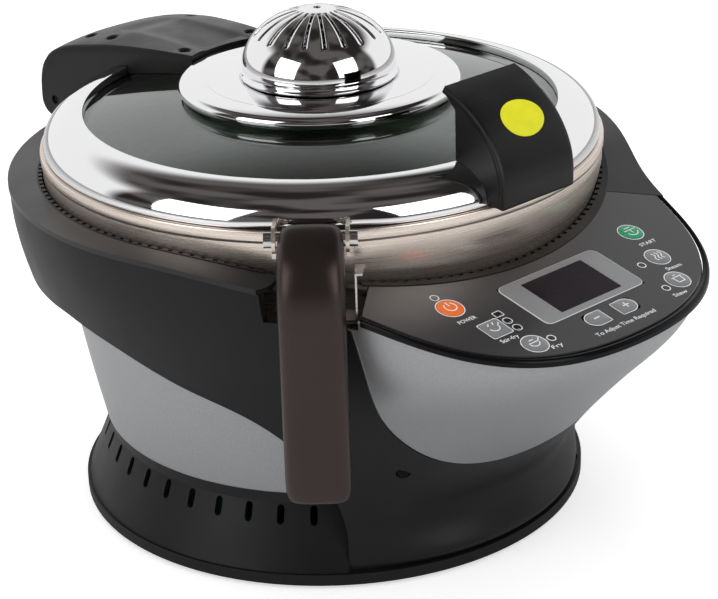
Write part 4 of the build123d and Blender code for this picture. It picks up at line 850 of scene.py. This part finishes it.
steam_wave = np.array([[0, -3.6], [-0.9, -1.6], [0.9, 1.0], [0, 3.4]])
signs = {
    "power": (0.34, 1.12, [arc_line(3.6, -235, 55, 30), straight(0, 0.6, 0, 4.6)]),
    "start": (0.30, 1.12, [
        arc_line(4.2, 200, 340, 20), straight(-4.4, 1.2, 4.4, 1.2), straight(-2.6, 3.4, 2.6, 3.4),
        straight(0, 1.2, 0, -2.0),
    ]),
    "minus": (0.42, 0.82, [straight(-2.2, 0, 2.2, 0)]),
    "plus": (0.42, 0.82, [straight(-2.3, 0, 2.3, 0), straight(0, -2.3, 0, 2.3)]),
    "stir_fry": (0.34, 0.92, [
        arc_line(3.4, 190, 350, 20, (-0.6, 0.6)), straight(2.6, 0.6, 5.0, 2.8),
        straight(-3.0, 2.6, -1.2, 4.4), straight(0.6, 2.4, 1.8, 4.4),
    ]),
    "fry": (0.32, 1.02, [
        straight(-4.2, 0.4, 2.6, 0.4), arc_line(3.4, 195, 345, 20, (-0.8, 0.4)),
        straight(2.6, 0.4, 4.8, 2.6), straight(-2.4, 2.6, 1.0, 2.6),
    ]),
    "steam": (0.32, 1.02, [smooth_line(steam_wave + [u, 0], 6) for u in (-2.6, 0.0, 2.6)]),
    "stew": (0.32, 1.02, [
        straight(-4.0, 1.4, 4.0, 1.4), straight(-3.0, 1.4, -2.4, -3.4), straight(-2.4, -3.4, 2.4, -3.4),
        straight(2.4, -3.4, 3.0, 1.4), straight(-1.2, 3.2, 1.2, 3.2),
    ]),
}
for name, (half_width, lift, lines) in signs.items():
    x, y = keys[name][:2]
    bars(name + "_sign", name + "_key", x, y, lines, half_width, lift)
print("signs on the keys ready")

# %% [markdown]
# ## Lid handle's face
# The handle is an arch whose front is one curved strip with a bead down both edges, so its sides
# look recessed. Faint ridges cross its upper half. The strip follows points measured from the side;
# its section is carried along them in the direction of the face.

# %% Curved face of the lid handle
face_line = smooth_line([
    [-178.0, 229.8], [-178.1, 236.0], [-178.0, 242.4], [-176.2, 252.0], [-171.4, 262.4],
    [-164.3, 271.8], [-155.0, 279.7], [-144.6, 285.9], [-133.9, 290.6],
], 14)
face_step = np.gradient(face_line, axis=0)
face_step /= np.linalg.norm(face_step, axis=1, keepdims=True)
face_out = np.column_stack([-face_step[:, 1], face_step[:, 0]])
face_place = np.concatenate([[0], np.cumsum(np.linalg.norm(np.diff(face_line, axis=0), axis=1))])
face_length = face_place[-1]
ridge_start, ridge_pitch, ridge_height = 40.0, 2.4, 0.10
upper = np.clip((face_place - ridge_start) / 6, 0, 1) * np.clip((face_length - face_place) / 5, 0, 1)
ridge = ridge_height * upper * np.maximum(0, np.sin(face_place * TURN / ridge_pitch)) ** 3
bead_x = np.array([27.6, 28.4, 28.7, 28.7, 28.3, 27.4, 26.0])
bead_out = np.array([0.62, 0.25, -0.5, -2.8, -3.4, -3.4, -0.6])
strip_x = np.concatenate([[-26.0, -13, 0, 13, 26.0], bead_x, -bead_x[::-1]])
strip_out = np.concatenate([[0.75] * 5, bead_out, bead_out[::-1]])
strip_ridge = np.array([1.0] * 5 + [0.0] * 14)
strip_share = np.clip(np.minimum(face_place, face_length - face_place) / 1.2, 0, 1) ** 0.5
strip_sink = (1 - strip_share[:, None]) * np.maximum(strip_out, 0)
strip_offset = strip_out - strip_sink + ridge[:, None] * strip_ridge
strip_yz = face_line[:, None] + face_out[:, None] * strip_offset[..., None]
strip_across = np.broadcast_to(strip_x[None, :, None], strip_offset.shape + (1,))
strip_points = close_ends(np.concatenate([strip_across, strip_yz], axis=-1), 0)
handle_face = surface("handle_face", strip_points, wrap_columns=True, body="lid", finish=handle_black,
                      sharp=42)
print("face strip length:", round(float(face_length), 1))

# %% [markdown]
# A plain yellow oval sticker lies on the strip. It is a grid in polar form: (15.3 s cos t) across
# and (11.3 s sin t) along the strip, laid a little above its curve.

# %% Yellow oval
oval_share = np.array([0.002, 0.3, 0.6, 0.85, 0.97, 1.0, 1.0])
oval_lift = np.array([0.98, 0.98, 0.98, 0.98, 0.97, 0.92, 0.70])
oval_angle = np.arange(72) / 72 * TURN
oval_middle, oval_half = (1.9, 46.6), (15.3, 11.3)
oval_x = oval_middle[0] + oval_half[0] * oval_share[:, None] * np.cos(oval_angle)
oval_along = oval_middle[1] + oval_half[1] * oval_share[:, None] * np.sin(oval_angle)
oval_y, oval_z = (
    np.interp(oval_along, face_place, face_line[:, side])
    + oval_lift[:, None] * np.interp(oval_along, face_place, face_out[:, side])
    for side in (0, 1)
)
oval_points = np.stack([oval_x, oval_y, oval_z], axis=-1)[::-1]
yellow_oval = surface("yellow_oval", oval_points, wrap_columns=True, body="lid",
                      finish=sticker_yellow, sharp=60)
print("oval faces:", len(yellow_oval.data.polygons))

# %% [markdown]
# ## Roof of the hinge cover
# The cover's roof is crowned across and has a shallow channel along its middle and six round screw
# wells. It is one grid: rows follow the roof from the front to the back, columns run across with
# x = u w(y), and the height is the roof's line plus crown, channel and wells:
# z = r(y) + 4.6 (1 - u^2.5) b(y) - 1.8 exp(-(x / 18)^6) c(y) - 2.4 exp(-(d / 3.7)^6), d from each well.

# %% Crowned roof with channel and wells
roof_front, roof_back, half_front, skin_lift, roof_limit = 88.0, 216.6, 34.0, 1.3, 266.1
crown_height, channel_depth, channel_half = 4.6, 1.8, 18.0
well_depth, well_radius = 2.4, 3.7
roof_y = np.concatenate([np.linspace(roof_front, 186, 66), np.linspace(188, roof_back, 26)])
roof_line = smooth_line([
    [84, 264.8], [100, 264.0], [115, 263.2], [135, 261.6], [155, 259.4], [172, 256.6], [188, 253.6],
    [199, 250.3], [208, 245.2], [213.5, 238.5], [216.6, 230.5], [217.4, 224],
], 12)
across = np.concatenate([[-1, -1, -1], np.linspace(-0.985, 0.985, 121), [1, 1, 1]])
edge_out = np.concatenate([[0.15, 0.15, -0.25], np.zeros(121), [-0.25, 0.15, 0.15]])
edge_drop = np.concatenate([[-7.0, -1.6, -0.45], np.zeros(121), [-0.45, -1.6, -7.0]])
front_y = np.sqrt(87.5**2 - (across * half_front) ** 2)
row_share = (roof_y[:, None] - roof_front) / (roof_back - roof_front)
grid_y = front_y + row_share * (roof_back - front_y)
grid_y = np.concatenate([grid_y[:1], grid_y])
grid_half = half_front + 17.0 * (grid_y - 85.5) / 120.5
grid_x = across * grid_half + np.sign(across) * edge_out
back_share = np.clip((grid_y - 95) / 60, 0, 1) * np.clip((roof_back - grid_y) / 12, 0, 1)
crown = crown_height * (1 - np.abs(across) ** 2.5) * back_share
channel_end = np.clip((180 - grid_y) / 16, 0, 1)
channel_fade = channel_end**2 * (3 - 2 * channel_end)
channel = channel_depth * np.exp(-((grid_x / channel_half) ** 6)) * channel_fade
wells = np.zeros_like(grid_x)
for x, y in [(31.0, 187.0), (32.5, 162.0), (27.0, 95.0)]:
    distance = np.hypot(np.abs(grid_x) - x, grid_y - y)
    wells += well_depth * np.exp(-((distance / well_radius) ** 6))
roof_z = np.interp(grid_y, roof_line[:, 0], roof_line[:, 1]) + skin_lift
roof_top = np.minimum(roof_z + crown - channel, roof_limit) - wells + edge_drop
roof_top[0] -= 4.0
roof_points = np.stack([grid_x, grid_y, roof_top], axis=-1)
cover_skin = surface("cover_roof", roof_points, body="lid", finish=handle_black, sharp=60)
print("roof faces:", len(cover_skin.data.polygons))

# %% [markdown]
# ## Pot handle
# The grip is a loft: pairs of points on its outer and inner side give the middle and thickness of
# each section, and each section is a superellipse |u|^3.2 + |v|^3.2 = 1, a soft rounded rectangle.
# It hangs from the pin in the plane that leaves the pot's axis at the handle's angle.

# %% Grip
grip_outer = smooth_line([
    [180.6, 237.6], [185.5, 239.6], [192.5, 238.6], [202.0, 234.2], [210.5, 226.8], [216.2, 217.2],
    [218.9, 206.5], [219.5, 194.0], [219.5, 160.0], [219.5, 126.0], [219.5, 100.0], [219.0, 93.0],
    [217.3, 89.4], [214.0, 87.8],
], 5)
grip_inner = smooth_line([
    [178.9, 235.0], [177.9, 231.0], [179.6, 226.4], [184.4, 221.4], [190.9, 214.8], [196.3, 206.6],
    [198.9, 197.8], [199.5, 187.0], [199.5, 157.0], [199.5, 126.0], [199.5, 100.0], [200.0, 93.0],
    [201.7, 89.4], [205.0, 87.8],
], 5)
grip_widths = [10.5, 14.6, 16.9, 17.8, 18.1, 18.1, 18.1, 18.1, 18.1, 18.1, 18.0, 17.4, 15.9, 12.8]
grip_half = smooth_line(np.array(grip_widths)[:, None], 5)
grip_middle = (grip_outer + grip_inner) / 2
grip_reach = (grip_outer - grip_inner) / 2
section_power, section_columns = 2 / 3.2, 56
section_angles = np.arange(section_columns) / section_columns * TURN
bend_u, bend_v = (
    np.sign(wave) * np.abs(wave) ** section_power
    for wave in (np.cos(section_angles), np.sin(section_angles))
)
grip_rz = grip_middle[:, None] + grip_reach[:, None] * bend_u[None, :, None]
grip_side = grip_half * bend_v[None]
outward = np.array([np.cos(radians(handle_angle)), np.sin(radians(handle_angle))])
sideways = np.array([-outward[1], outward[0]])
grip_xy = grip_rz[..., :1] * outward + grip_side[..., None] * sideways
grip_points = close_ends(np.concatenate([grip_xy, grip_rz[..., 1:]], axis=-1), 0)
pot_grip = surface("pot_grip", grip_points[::-1], wrap_columns=True, body="grip", finish=grip_brown,
                   sharp=70)
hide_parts("handle_grip")
print("grip faces:", len(pot_grip.data.polygons))

# %% [markdown]
# ## Studio
# The floor and the backdrop are plain and pale. The floor gives off a little light of its own, but
# only to rays from the camera, so it looks white and lights nothing. Two large soft lamps stand left
# and right of the view, where the chrome shows them, and one hangs above, hidden from the chrome.

# %% Floor and lamps
floor_reach, floor_glow = 6, 0.55
floor_corners = [(x * floor_reach, y * floor_reach, 0) for x, y in ((-1, -1), (1, -1), (1, 1), (-1, 1))]
floor_mesh = bpy.data.meshes.new("studio_floor")
floor_mesh.from_pydata(floor_corners, [], [(0, 1, 2, 3)])
studio_floor = add_object("studio_floor", floor_mesh)
floor_paint = make_finish("floor_paint", (0.9, 0.9, 0.9), 0.9)
floor_mesh.materials.append(floor_paint)
tree = floor_paint.node_tree
paint = tree.nodes["Principled BSDF"].outputs[0]
ray = tree.nodes.new("ShaderNodeLightPath")
white = tree.nodes.new("ShaderNodeEmission")
white.inputs["Color"].default_value = (1, 1, 1, 1)
white.inputs["Strength"].default_value = floor_glow
both = tree.nodes.new("ShaderNodeAddShader")
switch = tree.nodes.new("ShaderNodeMixShader")
tree.links.new(paint, both.inputs[0])
tree.links.new(white.outputs[0], both.inputs[1])
tree.links.new(ray.outputs["Is Camera Ray"], switch.inputs["Fac"])
tree.links.new(paint, switch.inputs[1])
tree.links.new(both.outputs[0], switch.inputs[2])
tree.links.new(switch.outputs[0], tree.nodes["Material Output"].inputs["Surface"])


def soft_lamp(name, place, aim, width, height, power):
    """A rectangular soft lamp that looks from its place to its aim."""
    lamp_data = bpy.data.lights.new(name, "AREA")
    lamp_data.shape = "RECTANGLE"
    lamp_data.size, lamp_data.size_y = width, height
    lamp_data.energy = power
    lamp = add_object(name, lamp_data)
    lamp.location = place
    lamp.rotation_mode = "QUATERNION"
    lamp.rotation_quaternion = (Vector(aim) - Vector(place)).to_track_quat("-Z", "Y")
    return lamp


side_aim = (0, 0, 0.15)
soft_lamp("lamp_left", (-1.9, 0.15, 0.95), side_aim, 1.2, 1.5, 13)
soft_lamp("lamp_right", (0.05, -2.0, 1.0), side_aim, 1.2, 1.5, 13)
lamp_top = soft_lamp("lamp_top", (0.1, 0.4, 1.9), (0, 0, 0.2), 1.6, 1.2, 14)
lamp_top.visible_glossy = False
print("lamps:", [item.name for item in bpy.data.lights])

# %% [markdown]
# Chrome shows the room more than its own colour, so the room is made as a studio is: a white wall
# behind the cooker, a dark ceiling and a dark space on the side where the photographer stands. Only
# glossy and transmitted rays see this room. Diffuse light comes from an even grey sky, and camera
# rays see plain white. The wall's edge is where the direction d along the view passes
# smoothstep(-0.05, 0.12, d), and the ceiling starts where its height passes 0.50 to 0.72. Soft noise
# over the direction breaks the dark side up, as people and furniture would.

# %% Studio room
world = bpy.data.worlds.new("studio_air")
world.use_nodes = True
bpy.context.scene.world = world
world_tree = world.node_tree


def world_node(kind, **values):
    """A node of the world's tree with some of its inputs set by name."""
    node = world_tree.nodes.new(kind)
    for key, value in values.items():
        node.inputs[key.replace("_", " ")].default_value = value
    return node


def smooth_range(value, low, high):
    """Smoothstep of a value between two limits, from 0 to 1."""
    spread = world_node("ShaderNodeMapRange", From_Min=low, From_Max=high)
    spread.interpolation_type = "SMOOTHSTEP"
    world_tree.links.new(value, spread.inputs["Value"])
    return spread.outputs["Result"]


def mix_colours(factor, first, second):
    """A colour mix; a colour is given as a tuple or as another node's output."""
    mix = world_tree.nodes.new("ShaderNodeMixRGB")
    world_tree.links.new(factor, mix.inputs["Fac"])
    for name, colour in (("Color1", first), ("Color2", second)):
        if isinstance(colour, tuple):
            mix.inputs[name].default_value = (*colour, 1)
        else:
            world_tree.links.new(colour, mix.inputs[name])
    return mix.outputs[0]


view_level = (0.675, 0.738, 0)
shade, clutter_grey = (0.022, 0.019, 0.019), (0.115, 0.104, 0.102)
wall_white, sky_grey, plain_white = (0.95, 0.95, 0.95), (0.4, 0.4, 0.4), (1, 1, 1)
sky_place = world_tree.nodes.new("ShaderNodeTexCoord").outputs["Generated"]
along_view = world_tree.nodes.new("ShaderNodeVectorMath")
along_view.operation = "DOT_PRODUCT"
along_view.inputs[1].default_value = view_level
world_tree.links.new(sky_place, along_view.inputs[0])
sky_split = world_tree.nodes.new("ShaderNodeSeparateXYZ")
world_tree.links.new(sky_place, sky_split.inputs[0])
behind = smooth_range(along_view.outputs["Value"], -0.05, 0.12)
ceiling = smooth_range(sky_split.outputs["Z"], 0.50, 0.72)
furniture = world_node("ShaderNodeTexNoise", Scale=2.2, Detail=1.0)
world_tree.links.new(sky_place, furniture.inputs["Vector"])
clutter = smooth_range(furniture.outputs["Fac"], 0.42, 0.62)
dark_side = mix_colours(clutter, shade, clutter_grey)
wall = mix_colours(behind, dark_side, wall_white)
room = mix_colours(ceiling, wall, dark_side)
ray_kind = world_tree.nodes.new("ShaderNodeLightPath")
for_diffuse = mix_colours(ray_kind.outputs["Is Diffuse Ray"], room, sky_grey)
for_camera = mix_colours(ray_kind.outputs["Is Camera Ray"], for_diffuse, plain_white)
world_tree.links.new(for_camera, world_tree.nodes["Background"].inputs["Color"])
world_tree.nodes["Background"].inputs["Strength"].default_value = 1.0
print("world nodes:", len(world_tree.nodes))
